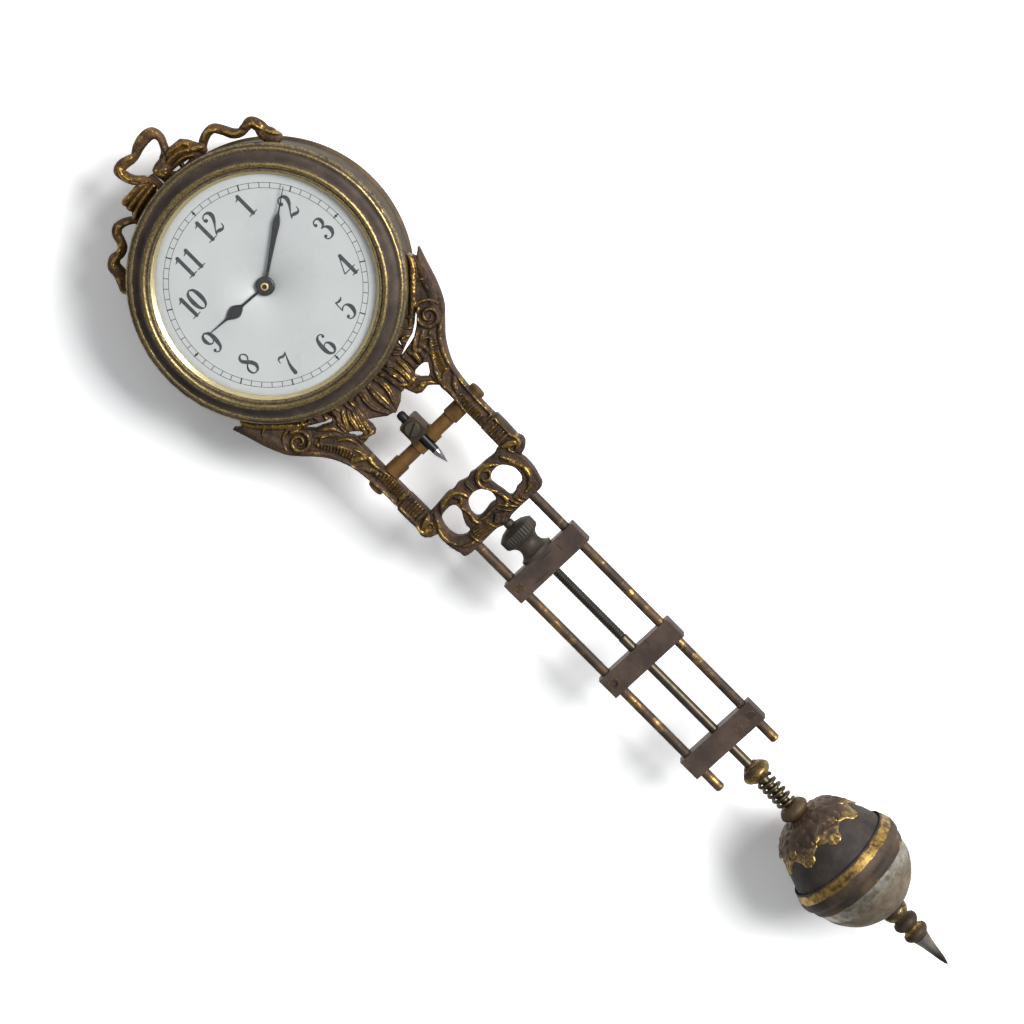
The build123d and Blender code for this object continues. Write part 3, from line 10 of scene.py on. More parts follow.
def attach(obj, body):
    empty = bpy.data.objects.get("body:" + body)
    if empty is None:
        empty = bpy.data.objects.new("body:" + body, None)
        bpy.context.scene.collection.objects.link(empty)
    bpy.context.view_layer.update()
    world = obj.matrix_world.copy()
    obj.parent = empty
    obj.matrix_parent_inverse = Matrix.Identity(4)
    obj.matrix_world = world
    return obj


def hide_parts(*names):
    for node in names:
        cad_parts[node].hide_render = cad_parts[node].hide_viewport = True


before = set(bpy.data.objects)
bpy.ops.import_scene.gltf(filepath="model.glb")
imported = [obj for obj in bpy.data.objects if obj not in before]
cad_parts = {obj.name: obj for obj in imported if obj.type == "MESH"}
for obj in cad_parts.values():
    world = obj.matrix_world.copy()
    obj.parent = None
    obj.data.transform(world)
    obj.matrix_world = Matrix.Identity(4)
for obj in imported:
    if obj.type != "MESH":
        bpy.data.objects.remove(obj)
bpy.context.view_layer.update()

MM = 0.001
CASE_Z = 63.0
DRUM_EDGE = 34.32
ORIGIN = (0, 0, 0)


# ---------------------------------------------------------------- nodes and finishes

class Wiring:
    """Short hand for placing and joining nodes in one tree."""

    def __init__(self, tree):
        self.tree = tree

    def fill(self, node, inputs):
        """Give the node's inputs their values or links."""
        for key, value in inputs.items():
            if isinstance(value, bpy.types.NodeSocket):
                self.tree.links.new(value, node.inputs[key])
            else:
                node.inputs[key].default_value = value

    def node(self, kind, inputs=None, **settings):
        made = self.tree.nodes.new(kind)
        for key, value in settings.items():
            setattr(made, key, value)
        self.fill(made, inputs or {})
        return made

    def math(self, what, a, b):
        return self.node("ShaderNodeMath", {0: a, 1: b}, operation=what).outputs[0]

    def add(self, a, b):
        return self.math("ADD", a, b)

    def minus(self, a, b):
        return self.math("SUBTRACT", a, b)

    def times(self, a, b):
        return self.math("MULTIPLY", a, b)

    def mix(self, share, a, b):
        return self.node("ShaderNodeMix", {0: share, 6: a, 7: b}, data_type="RGBA").outputs[2]

    def noise(self, place, scale, detail=4.0, rough=0.6, warp=0.0):
        return self.node("ShaderNodeTexNoise", {
            "Vector": place, "Scale": scale, "Detail": detail, "Roughness": rough,
            "Distortion": warp}).outputs["Fac"]

    def ramp(self, value, low, high):
        return self.node("ShaderNodeMapRange", {"Value": value, "From Min": low, "From Max": high},
                         clamp=True, interpolation_type="SMOOTHSTEP").outputs["Result"]


def group_tree(name, kind, inputs, outputs):
    """Empty node group with its sockets, and what is needed to wire it."""
    tree = bpy.data.node_groups.new(name, kind)
    for label, sort, value in inputs:
        made = tree.interface.new_socket(name=label, in_out="INPUT", socket_type="NodeSocket" + sort)
        if value is not None:
            made.default_value = value
    for label, sort in outputs:
        tree.interface.new_socket(name=label, in_out="OUTPUT", socket_type="NodeSocket" + sort)
    w = Wiring(tree)
    return tree, w, w.node("NodeGroupInput").outputs, w.node("NodeGroupOutput")


def make_patina():
    """Dark patina over warm brown, with the gilding left on what stands proud."""
    tree, w, given, out = group_tree("patina", "ShaderNodeTree", (
        ("Place", "Vector", None), ("Dark", "Color", (0.02, 0.015, 0.01, 1)),
        ("Warm", "Color", (0.1, 0.05, 0.02, 1)), ("Gilt", "Color", (0.5, 0.3, 0.1, 1)),
        ("Rub", "Float", 0.0), ("Share", "Float", 0.3), ("Grain", "Float", 900.0)),
        (("Colour", "Color"), ("Roughness", "Float"), ("Metallic", "Float"), ("Height", "Float")))
    broad = w.noise(given["Place"], 140.0, 5.0, 0.65)
    fleck = w.noise(given["Place"], given["Grain"], 6.0, 0.7, 0.4)
    pit = w.noise(given["Place"], w.times(given["Grain"], 2.6), 3.0)
    brown = w.mix(w.ramp(broad, 0.35, 0.68), given["Dark"], given["Warm"])
    drive = w.add(w.times(given["Rub"], 0.75), w.times(given["Share"], 0.5))
    ragged = w.add(drive, w.times(w.minus(fleck, 0.5), 1.5))
    worn = w.ramp(w.add(ragged, w.times(w.minus(broad, 0.5), 0.5)), 0.34, 0.62)
    w.fill(out, {
        "Colour": w.mix(worn, brown, w.mix(w.ramp(pit, 0.3, 0.75), given["Gilt"], given["Warm"])),
        "Roughness": w.minus(0.62, w.times(worn, 0.26)),
        "Metallic": w.add(0.45, w.times(worn, 0.5)),
        "Height": w.add(w.times(fleck, 0.7), w.times(pit, 0.3))})
    return tree


def make_streaks():
    """Drawn metal: long faint streaks along Z and blotches of tarnish."""
    tree, w, given, out = group_tree("drawn streaks", "ShaderNodeTree", (
        ("Place", "Vector", None), ("Bright", "Color", (0.5, 0.4, 0.2, 1)),
        ("Tarnish", "Color", (0.1, 0.07, 0.03, 1)), ("Cover", "Float", 0.5), ("Stretch", "Float", 0.08)),
        (("Colour", "Color"), ("Roughness", "Float"), ("Height", "Float")))
    split = w.node("ShaderNodeSeparateXYZ", {0: given["Place"]}).outputs
    drawn_out = w.node("ShaderNodeCombineXYZ", {
        0: split[0], 1: split[1], 2: w.times(split[2], given["Stretch"])}).outputs[0]
    blotch = w.noise(given["Place"], 170.0, 6.0, 0.7, 0.3)
    both = w.add(w.times(blotch, 0.7), w.times(w.noise(drawn_out, 1500.0), 0.3))
    cover = w.ramp(both, w.minus(0.72, given["Cover"]), w.minus(1.02, given["Cover"]))
    w.fill(out, {
        "Colour": w.mix(cover, given["Tarnish"], given["Bright"]),
        "Roughness": w.minus(0.58, w.times(cover, 0.28)), "Height": both})
    return tree


PATINA = make_patina()
STREAKS = make_streaks()


def surface(name, inputs=None):
    """New material, the wiring of its tree, its Principled shader and the Object coordinates."""
    made = bpy.data.materials.new(name)
    made.use_nodes = True
    w = Wiring(made.node_tree)
    shader = made.node_tree.nodes["Principled BSDF"]
    w.fill(shader, inputs or {})
    return made, w, shader, w.node("ShaderNodeTexCoord").outputs["Object"]


def dress(w, shader, group, depth):
    """Lead the group's outputs to the shader, its height through a bump."""
    given = group.outputs
    bump = w.node("ShaderNodeBump", {"Strength": 1.0, "Distance": depth * MM, "Height": given["Height"]})
    w.fill(shader, {
        "Base Color": given["Colour"], "Roughness": given["Roughness"], "Normal": bump.outputs[0]})


def patinated(name, dark, warm, gilt, share, grain=900.0, depth=0.12, rub=True):
    made, w, shader, place = surface(name)
    group = w.node("ShaderNodeGroup", {
        "Place": place, "Dark": (*dark, 1), "Warm": (*warm, 1), "Gilt": (*gilt, 1), "Share": share,
        "Grain": grain}, node_tree=PATINA)
    if rub:
        w.fill(group, {"Rub": w.node("ShaderNodeAttribute", attribute_name="rub").outputs["Fac"]})
    w.fill(shader, {"Metallic": group.outputs["Metallic"]})
    dress(w, shader, group, depth)
    return made


def drawn(name, bright, tarnish, cover, metallic=0.9, stretch=1.0, depth=0.01):
    made, w, shader, place = surface(name, {"Metallic": metallic})
    group = w.node("ShaderNodeGroup", {
        "Place": place, "Bright": (*bright, 1), "Tarnish": (*tarnish, 1), "Cover": cover,
        "Stretch": stretch}, node_tree=STREAKS)
    dress(w, shader, group, depth)
    return made


def clouded(name, grain, detail, rough, span, low, high, polish, inputs=None):
    """Paint or ink with soft clouds; polish is its least roughness and what the clouds add."""
    made, w, shader, place = surface(name, inputs)
    cloud = w.noise(place, grain, detail, rough)
    w.fill(shader, {
        "Base Color": w.mix(w.ramp(cloud, *span), (*low, 1), (*high, 1)),
        "Roughness": w.add(polish[0], w.times(cloud, polish[1]))})
    return made


def two_tone(name, low, high, split, soft, rough, metal, grain=1200.0):
    """Turned steel whose colour and polish change at a height, with a soft border."""
    made, w, shader, place = surface(name)
    up = w.node("ShaderNodeSeparateXYZ", {0: place}).outputs[2]
    blotch = w.noise(place, grain, 5.0, 0.65)
    height = w.add(up, w.times(w.minus(blotch, 0.5), soft))
    share = w.ramp(height, split - soft / 2, split + soft / 2)
    tint = w.mix(share, (*low, 1), (*high, 1))
    w.fill(shader, {
        "Base Color": w.mix(w.ramp(blotch, 0.35, 0.75), tint, w.mix(0.5, tint, (0.02, 0.018, 0.015, 1))),
        "Roughness": w.add(rough[0], w.times(share, rough[1] - rough[0])),
        "Metallic": w.add(metal[0], w.times(share, metal[1] - metal[0]))})
    return made


def by_ray(w, kinds, plain, other):
    """Two shaders in one: rays of the two kinds named meet the other one."""
    path = w.node("ShaderNodeLightPath").outputs
    share = w.math("MAXIMUM", path[kinds[0]], path[kinds[1]])
    return w.node("ShaderNodeMixShader", {0: share, 1: plain, 2: other}).outputs[0]


CAST = patinated("cast bronze", (0.041, 0.025, 0.017), (0.112, 0.062, 0.034), (0.46, 0.3, 0.08), 0.2)
CREST = patinated("crest bronze", (0.062, 0.035, 0.018), (0.165, 0.088, 0.032), (0.52, 0.32, 0.08), 0.3,
                  700.0)
BEZEL = patinated("bezel patina", (0.056, 0.041, 0.034), (0.108, 0.077, 0.058), (0.5, 0.38, 0.15), 0.16,
                  1000.0)
DRUM = patinated("drum brass", (0.06, 0.044, 0.03), (0.13, 0.085, 0.04), (0.46, 0.29, 0.1), 0.22, 600.0, 0.04,
                 rub=False)
BAMBOO = patinated("crossbar brass", (0.095, 0.048, 0.016), (0.25, 0.13, 0.038), (0.52, 0.29, 0.07), 0.4,
                   1000.0, 0.07)
SLAB = patinated("bar bronze", (0.07, 0.048, 0.039), (0.125, 0.084, 0.064), (0.22, 0.15, 0.09), 0.1, 1000.0,
                 0.07, rub=False)
NUTS = patinated("nut steel brown", (0.046, 0.039, 0.032), (0.1, 0.08, 0.058), (0.4, 0.29, 0.13), 0.45, 500.0,
                 0.08)
DOME = patinated("bob dark", (0.034, 0.028, 0.027), (0.078, 0.057, 0.046), (0.48, 0.33, 0.11), 0.0, 700.0,
                 0.1)
FOLIAGE = patinated("bob leaf bronze", (0.062, 0.039, 0.027), (0.14, 0.088, 0.052), (0.46, 0.32, 0.12), 0.16,
                    620.0, 0.16)
GIRDLE = patinated("bob band gilt", (0.038, 0.028, 0.022), (0.105, 0.068, 0.04), (0.6, 0.38, 0.11), 0.03,
                   300.0, 0.08)
BOWL = patinated("bob bowl worn", (0.12, 0.088, 0.055), (0.25, 0.205, 0.145), (0.46, 0.44, 0.38), 0.3, 200.0,
                 0.05)
TURNED = patinated("turned brass", (0.04, 0.028, 0.018), (0.11, 0.07, 0.034), (0.4, 0.27, 0.095), 0.08, 700.0,
                   0.08)
ROD = patinated("rod brass", (0.05, 0.036, 0.028), (0.12, 0.072, 0.038), (0.52, 0.32, 0.1), 0.66, 240.0, 0.05,
                rub=False)
COIL = drawn("spring steel", (0.15, 0.115, 0.06), (0.034, 0.026, 0.018), 0.4, depth=0.03)
BRIGHT = drawn("movement brass", (0.78, 0.56, 0.22), (0.45, 0.3, 0.1), 0.62, 1.0)
STEEL = drawn("ground steel", (0.55, 0.55, 0.56), (0.3, 0.29, 0.28), 0.55, 1.0)
BLACK = drawn("black steel", (0.03, 0.03, 0.034), (0.012, 0.012, 0.014), 0.5, 0.6)
LEAD = drawn("lead", (0.2, 0.2, 0.21), (0.12, 0.12, 0.125), 0.5, 0.7, depth=0.05)
SIGHT = drawn("sight ring brass", (0.44, 0.36, 0.2), (0.22, 0.155, 0.085), 0.55, 0.8, depth=0.02)
INK = clouded("dial ink", 1400.0, 4.0, 0.6, (0.25, 0.8), (0.018, 0.018, 0.02), (0.06, 0.06, 0.065),
              (0.35, 0.2))
ENAMEL = clouded("white enamel", 60.0, 3.0, 0.5, (0.3, 0.7), (0.585, 0.59, 0.588), (0.64, 0.642, 0.638),
                 (0.22, 0.12), {"Coat Weight": 0.3, "Coat Roughness": 0.08})
POINT = two_tone("pivot steel", (0.62, 0.62, 0.64), (0.022, 0.022, 0.028), 0.0042, 0.0006, (0.16, 0.38),
                 (1.0, 0.6))
SPIKE = two_tone("finial steel", (0.055, 0.05, 0.045), (0.26, 0.23, 0.2), -0.179, 0.006, (0.35, 0.42),
                 (0.8, 0.8), 500.0)
SCREWED = two_tone("centre rod", (0.115, 0.092, 0.062), (0.062, 0.052, 0.042), -0.063, 0.0015, (0.4, 0.45),
                   (0.8, 0.7), 420.0)


# ---------------------------------------------------------------- shapes

def in_scene(name, data):
    obj = bpy.data.objects.new(name, data)
    bpy.context.scene.collection.objects.link(obj)
    return obj


def finish_piece(obj, body, slot, *nodes):
    """A finished piece: it rides on its body and stands for its CAD nodes; its slot is not used."""
    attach(obj, body)
    if nodes:
        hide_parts(*nodes)
    return obj


def from_arrays(name, verts, faces, material, rub=None, sharp=40.0):
    """Object from arrays in millimetres, shaded smooth but for edges past the sharp angle."""
    mesh = bpy.data.meshes.new(name)
    mesh.from_pydata([tuple(p) for p in np.asarray(verts) * MM], [], [tuple(f) for f in faces])
    if rub is not None:
        layer = mesh.attributes.new("rub", "FLOAT", "POINT")
        layer.data.foreach_set("value", np.asarray(rub, dtype=np.float32))
    mesh.validate()
    mesh.materials.append(material)
    mesh.shade_smooth()
    mesh.set_sharp_from_angle(angle=math.radians(sharp))
    return in_scene(name, mesh)


def smooth_line(points, per=8):
    """Catmull-Rom curve through the points, whatever their number of columns."""
    p = np.asarray(points, dtype=float)
    p = np.vstack([2 * p[0] - p[1], p, 2 * p[-1] - p[-2]])
    t = np.linspace(0, 1, per, endpoint=False)[:, None]
    runs = []
    for a, b, c, d in zip(p, p[1:], p[2:], p[3:]):
        runs.append(0.5 * (2 * b + (c - a) * t + (2 * a - 5 * b + 4 * c - d) * t**2
                           + (3 * b - a - 3 * c + d) * t**3))
    return np.vstack([*runs, p[-2][None, :]])


def flat(name, outline, y_front, y_back, material):
    """Flat prism of a convex outline in front view."""
    n = len(outline)
    verts = [(x, y, z) for y in (y_front, y_back) for x, z in outline]
    faces = [tuple(range(n)), tuple(range(2 * n - 1, n - 1, -1))]
    faces += [(k + n, (k + 1) % n + n, (k + 1) % n, k) for k in range(n)]
    return from_arrays(name, verts, faces, material)


def corners(x0, x1, z0, z1):
    return [(x0, z0), (x1, z0), (x1, z1), (x0, z1)]


class Sheet:
    """Grid of points in front view, x to the right and z up, in millimetres."""

    def __init__(self, x, z, step):
        self.x, self.z, self.step = x, z, step
        self.X, self.Z = np.meshgrid(x, z, indexing="ij")

    @classmethod
    def over(cls, x0, x1, z0, z1, step):
        """Sheet over a rectangle."""
        return cls(np.arange(x0, x1 + step, step), np.arange(z0, z1 + step, step), step)

    def line(self, points):
        """Distance to the polyline and share along it, 0 to 1."""
        p = np.asarray(points, dtype=float)[:, :2]
        best, along = np.full(self.X.shape, 1e9), np.zeros(self.X.shape)
        lengths = np.hypot(*(p[1:] - p[:-1]).T)
        total, done = lengths.sum(), 0.0
        for (ax, az), (bx, bz), length in zip(p[:-1], p[1:], lengths):
            if length < 1e-9:
                continue
            ux, uz = (bx - ax) / length, (bz - az) / length
            t = np.clip((self.X - ax) * ux + (self.Z - az) * uz, 0, length)
            d = np.hypot(self.X - ax - t * ux, self.Z - az - t * uz)
            near = d < best
            best = np.where(near, d, best)
            along = np.where(near, (done + t) / total, along)
            done += length
        return best, along

    def inside(self, points):
        """Signed distance to a closed outline, positive inside."""
        p = np.asarray(points, dtype=float)[:, :2]
        d, _ = self.line(np.vstack([p, p[:1]]))
        odd = np.zeros(self.X.shape, dtype=bool)
        for (ax, az), (bx, bz) in zip(p, np.roll(p, -1, axis=0)):
            if az != bz:
                cross = (az > self.Z) != (bz > self.Z)
                odd ^= cross & (self.X < (bx - ax) * (self.Z - az) / (bz - az) + ax)
        return np.where(odd, d, -d)

    def band(self, points, per=8):
        """Signed distance to a stroke whose points are (x, z, half width), positive inside."""
        line = smooth_line(points, per)
        d, along = self.line(line)
        steps = np.hypot(*(line[1:, :2] - line[:-1, :2]).T)
        share = np.concatenate([[0], np.cumsum(steps)]) / max(steps.sum(), 1e-9)
        half = np.interp(along, share, line[:, 2])
        return half - d, half, along

    def plate(self, outlines=(), strokes=(), holes=(), per=8):
        """Signed distance to a flat shape: outlines and strokes together, less the holes."""
        solid = [self.inside(p) for p in outlines] + [self.band(p, per)[0] for p in strokes]
        return np.minimum.reduce([np.maximum.reduce(solid)] + [-self.inside(p) for p in holes])

    def outside_drum(self):
        return np.hypot(self.X, self.Z - CASE_Z) - DRUM_EDGE

    def blur(self, field, size):
        """Mean over a square of the given size."""
        n = max(1, int(size / self.step / 2))
        for axis in (0, 1):
            pad = [(0, 0), (0, 0)]
            pad[axis] = (n + 1, n)
            run = np.cumsum(np.pad(field, pad, mode="edge"), axis=axis)
            low = np.take(run, range(0, field.shape[axis]), axis=axis)
            high = np.take(run, range(2 * n + 1, 2 * n + 1 + field.shape[axis]), axis=axis)
            field = (high - low) / (2 * n + 1)
        return field


def casting_noise(sheet, size, seed):
    """Soft lumps of a casting, about -1 to 1."""
    rng = np.random.default_rng(seed)
    n = max(2, int(size / sheet.step))
    rough = rng.standard_normal((sheet.X.shape[0] // n + 3, sheet.X.shape[1] // n + 3))
    i, j = np.arange(sheet.X.shape[0]) / n, np.arange(sheet.X.shape[1]) / n
    i0, j0 = i.astype(int), j.astype(int)
    fi, fj = i - i0, j - j0
    fi, fj = fi * fi * (3 - 2 * fi), fj * fj * (3 - 2 * fj)
    a = rough[np.ix_(i0, j0)] * (1 - fi)[:, None] + rough[np.ix_(i0 + 1, j0)] * fi[:, None]
    b = rough[np.ix_(i0, j0 + 1)] * (1 - fi)[:, None] + rough[np.ix_(i0 + 1, j0 + 1)] * fi[:, None]
    return a * (1 - fj)[None, :] + b * fj[None, :]


def carve(name, sheet, inside, front, back, material, rub=None):
    """Solid piece whose outline is where inside is zero, from the front surface to the back one.

    front and back are heights towards the viewer, so a higher front stands nearer to the viewer.
    """
    inside = np.where(np.abs(inside) < 1e-4, 1e-4, inside)
    keep = inside > 0
    number = np.full(inside.shape, -1)
    number[keep] = np.arange(keep.sum())
    rub = np.zeros_like(inside) if rub is None else rub
    I, J = np.nonzero(keep)
    rows = list(zip(sheet.x[I], sheet.z[J], front[I, J], back[I, J], rub[I, J]))
    crossing = {}

    def cut(here, there):
        """Point where the outline crosses the line between two points of the sheet."""
        if (here, there) not in crossing:
            a, b = inside[here], inside[there]
            t = min(max(a / (a - b), 0.02), 0.98)
            (i0, j0), (i1, j1) = here, there
            crossing[here, there] = len(rows)
            rows.append((
                sheet.x[i0] + t * (sheet.x[i1] - sheet.x[i0]), sheet.z[j0] + t * (sheet.z[j1] - sheet.z[j0]),
                front[here] + t * (front[there] - front[here]), back[here] + t * (back[there] - back[here]),
                rub[here if keep[here] else there]))
        return crossing[here, there]

    corner = keep[:-1, :-1], keep[1:, :-1], keep[1:, 1:], keep[:-1, 1:]
    whole = np.logical_and.reduce(corner)
    a, b = np.nonzero(whole)
    faces = np.stack([number[a, b], number[a + 1, b], number[a + 1, b + 1], number[a, b + 1]], axis=1)
    faces = faces.tolist()
    rims = []
    for i, j in zip(*np.nonzero(np.logical_or.reduce(corner) & ~whole)):
        ring = ((i, j), (i + 1, j), (i + 1, j + 1), (i, j + 1))
        face, ends = [], []
        for here, there in zip(ring, ring[1:] + ring[:1]):
            if keep[here]:
                face.append(number[here])
            if keep[here] != keep[there]:
                spot = cut(*sorted((here, there)))
                face.append(spot)
                ends.append((spot, keep[here]))
        if len(face) >= 3:
            faces.append(face)
        for k, (spot, leaving) in enumerate(ends):
            if leaving:
                rims.append((spot, ends[(k + 1) % len(ends)][0]))
    x, z, near, far, worn = np.array(rows).T
    count = len(x)
    verts = np.vstack([np.stack([x, -near, z], axis=1), np.stack([x, -far, z], axis=1)])
    behind = [[v + count for v in face[::-1]] for face in faces]
    walls = [[p, p + count, q + count, q] for p, q in rims]
    return from_arrays(name, verts, faces + behind + walls, material, np.tile(worn, 2), 50.0)


def rounded(inside, radius, drop):
    """How far the surface falls away near the outline, as a quarter round."""
    t = np.clip(1 - inside / radius, 0, 1)
    return drop * (1 - np.sqrt(np.clip(1 - t**2, 0, 1)))


def turned(name, profile, material, rounds=96, axis="Z", centre=ORIGIN, sharp=35.0, wobble=None):
    """Body of revolution. The profile's rows are (radius, height, rub); it closes where r is 0."""
    verts, rub, faces, rings = [], [], [], []
    for r, h, worn in profile:
        ring = range(len(verts), len(verts) + (rounds if r > 1e-6 else 1))
        for k in range(len(ring)):
            a = 2 * math.pi * k / rounds
            reach = r + (wobble(a, h) if wobble else 0.0)
            verts.append((reach * math.cos(a), reach * math.sin(a), h))
            rub.append(worn)
        rings.append(ring)
    if np.allclose(profile[0][:2], profile[-1][:2]):
        rings[-1] = rings[0]
    for low, high in zip(rings[:-1], rings[1:]):
        if len(low) == len(high) == 1:
            continue
        for k in range(rounds):
            n = (k + 1) % rounds
            quad = low[k % len(low)], low[n % len(low)], high[n % len(high)], high[k % len(high)]
            faces.append(tuple(dict.fromkeys(quad)))
    verts = np.array(verts)
    if axis == "Y":
        verts = verts[:, [0, 2, 1]]
        faces = [f[::-1] for f in faces]
    obj = from_arrays(name, verts + np.asarray(centre), faces, material, rub, sharp)
    level_normals(obj)
    return obj


def case_piece(name, profile, material, rounds=160, sharp=35.0):
    """Turned piece on the case's axis; the profile's height is Y."""
    return turned(name, profile, material, rounds, "Y", (0, 0, CASE_Z), sharp)


def level_normals(obj):
    """Drop loose points and turn every face outwards."""
    form = bmesh.new()
    form.from_mesh(obj.data)
    bmesh.ops.delete(form, geom=[v for v in form.verts if not v.link_faces], context="VERTS")
    bmesh.ops.recalc_face_normals(form, faces=form.faces)
    form.to_mesh(obj.data)
    form.free()


def make_copies_tree():
    """Copies of the piece, set evenly round an axis through Centre."""
    tree, w, given, out = group_tree("copies round an axis", "GeometryNodeTree", (
        ("Geometry", "Geometry", None), ("Count", "Int", 8), ("Centre", "Vector", ORIGIN),
        ("Axis", "Vector", (0, 0, 1)), ("Material", "Material", None)), (("Geometry", "Geometry"),))
    away = w.node("ShaderNodeVectorMath", {0: given["Centre"], "Scale": -1.0}, operation="SCALE")
    shift = w.node("GeometryNodeTransform", {"Geometry": given["Geometry"], "Translation": away.outputs[0]})
    row = w.node("GeometryNodeMeshLine", {
        "Count": given["Count"], "Offset": ORIGIN, "Start Location": given["Centre"]})
    index = w.node("GeometryNodeInputIndex").outputs[0]
    angle = w.math("DIVIDE", w.times(index, 2 * math.pi), given["Count"])
    turn = w.node("FunctionNodeAxisAngleToRotation", {"Axis": given["Axis"], "Angle": angle})
    copies = w.node("GeometryNodeInstanceOnPoints", {
        "Points": row.outputs[0], "Instance": shift.outputs[0], "Rotation": turn.outputs[0]})
    real = w.node("GeometryNodeRealizeInstances", {0: copies.outputs[0]})
    paint = w.node("GeometryNodeSetMaterial", {"Geometry": real.outputs[0], "Material": given["Material"]})
    w.fill(out, {"Geometry": paint.outputs[0]})
    return tree


COPIES = make_copies_tree()


def copied(name, base, count, centre=ORIGIN, axis=(0, 0, 1)):
    """Plain mesh of the base object's copies round an axis, in the base's material."""
    modifier = base.modifiers.new("copies", "NODES")
    modifier.node_group = COPIES
    values = {"Count": count, "Centre": centre, "Axis": axis, "Material": base.data.materials[0]}
    for item in COPIES.interface.items_tree:
        if item.in_out == "INPUT" and item.name in values:
            modifier[item.identifier] = values[item.name]
    bpy.context.view_layer.update()
    mesh = bpy.data.meshes.new_from_object(base.evaluated_get(bpy.context.evaluated_depsgraph_get()))
    mesh.name = name
    bpy.data.objects.remove(base)
    return in_scene(name, mesh)


def joined(name, *objs):
    """One object of several, each already in place."""
    form = bmesh.new()
    slots = []
    for obj in objs:
        start = len(form.faces)
        form.from_mesh(obj.data)
        form.faces.ensure_lookup_table()
        slots += [material for material in obj.data.materials if material not in slots]
        own = [slots.index(material) for material in obj.data.materials]
        for face in form.faces[start:]:
            face.material_index = own[face.material_index]
    mesh = bpy.data.meshes.new(name)
    form.to_mesh(mesh)
    form.free()
    for material in slots:
        mesh.materials.append(material)
    for obj in objs:
        bpy.data.objects.remove(obj)
    return in_scene(name, mesh)


# ---------------------------------------------------------------- camera, light and stage

VIEW_TURN = math.radians(12.3)
VIEW_AWAY = 0.6615
PIXELS = 1024
FOCAL_PIXELS = 2672.0
LEAN = math.radians(45.14)
LOOK_AT = Vector((0.0031, 0, -0.0207))
LAMPS_ROUND = Vector((0, 0, -0.02))
WALL_Y = 21.5
WALL_HALF = 3000.0
SEEN = ("Is Camera Ray", "Is Transmission Ray")


def place_camera():
    """Camera at the dial's height, a little to its right, leaning so the clock lies across the frame."""
    spot = Vector((VIEW_AWAY * math.sin(VIEW_TURN), -VIEW_AWAY * math.cos(VIEW_TURN) - 0.005, CASE_Z * MM))
    ahead = (LOOK_AT - spot).normalized()
    upright = (Vector((0, 0, 1)) - ahead * ahead.z).normalized()
    sideways = ahead.cross(upright)
    right = sideways * math.sin(LEAN) - upright * math.cos(LEAN)
    above = sideways * math.cos(LEAN) + upright * math.sin(LEAN)
    data = bpy.data.cameras.new("camera")
    data.angle = 2 * math.atan(PIXELS / 2 / FOCAL_PIXELS)
    data.clip_start = 0.01
    data.shift_x = -2.5 / PIXELS
    camera = in_scene("camera", data)
    turn = np.array([right, above, -ahead]).T
    camera.matrix_world = Matrix.Translation(spot) @ Matrix(turn.tolist()).to_4x4()
    bpy.context.scene.camera = camera
    return right, above, ahead


cam_right, cam_up, cam_ahead = place_camera()


def softbox(name, towards, away, size, power):
    """Square lamp in a direction given in the picture: right, up and towards the viewer."""
    direction = (cam_right * towards[0] + cam_up * towards[1] - cam_ahead * towards[2]).normalized()
    data = bpy.data.lights.new(name, "AREA")
    data.shape = "SQUARE"
    data.size = size
    data.energy = power
    lamp = in_scene(name, data)
    lamp.location = LAMPS_ROUND + direction * away
    lamp.rotation_euler = direction.to_track_quat("Z", "Y").to_euler()


softbox("key", (0.72, 0.2, 1.0), 1.2, 0.56, 17.0)
softbox("fill", (-0.3, 0.8, 1.2), 1.4, 1.0, 2.0)
softbox("back", (-0.5, 0.6, -1.2), 1.3, 0.9, 6.0)


def white_world():
    world = bpy.data.worlds.new("studio")
    bpy.context.scene.world = world
    world.use_nodes = True
    w = Wiring(world.node_tree)
    plain = world.node_tree.nodes["Background"]
    w.fill(plain, {"Color": (0.86, 0.88, 0.9, 1), "Strength": 0.28})
    white = w.node("ShaderNodeBackground", {"Color": (1, 1, 1, 1), "Strength": 1.0})
    both = by_ray(w, SEEN, plain.outputs[0], white.outputs[0])
    w.fill(world.node_tree.nodes["World Output"], {"Surface": both})


def white_wall():
    """White paper behind the clock, clear from behind and to the lamp there."""
    made, w, shader, place = surface("white paper", {
        "Base Color": (0.86, 0.86, 0.86, 1), "Roughness": 0.9, "Specular IOR Level": 0.1})
    bright = w.node("ShaderNodeBsdfDiffuse", {"Color": (0.68, 0.68, 0.68, 1)})
    lit = w.node("ShaderNodeAddShader", {0: shader.outputs[0], 1: bright.outputs[0]})
    seen = by_ray(w, SEEN, shader.outputs[0], lit.outputs[0])
    behind = w.node("ShaderNodeNewGeometry").outputs["Backfacing"]
    shadow = w.node("ShaderNodeLightPath").outputs["Is Shadow Ray"]
    clear = w.node("ShaderNodeBsdfTransparent")
    ends = w.node("ShaderNodeMixShader", {
        0: w.math("MAXIMUM", behind, shadow), 1: seen, 2: clear.outputs[0]})
    w.fill(made.node_tree.nodes["Material Output"], {"Surface": ends.outputs[0]})
    verts = [(x, WALL_Y, z) for x, z in corners(-WALL_HALF, WALL_HALF, -WALL_HALF, WALL_HALF)]
    from_arrays("wall", verts, [(0, 1, 2, 3)], made)


white_world()
white_wall()
bpy.context.scene.view_settings.view_transform = "Standard"


# ---------------------------------------------------------------- case, dial and hands

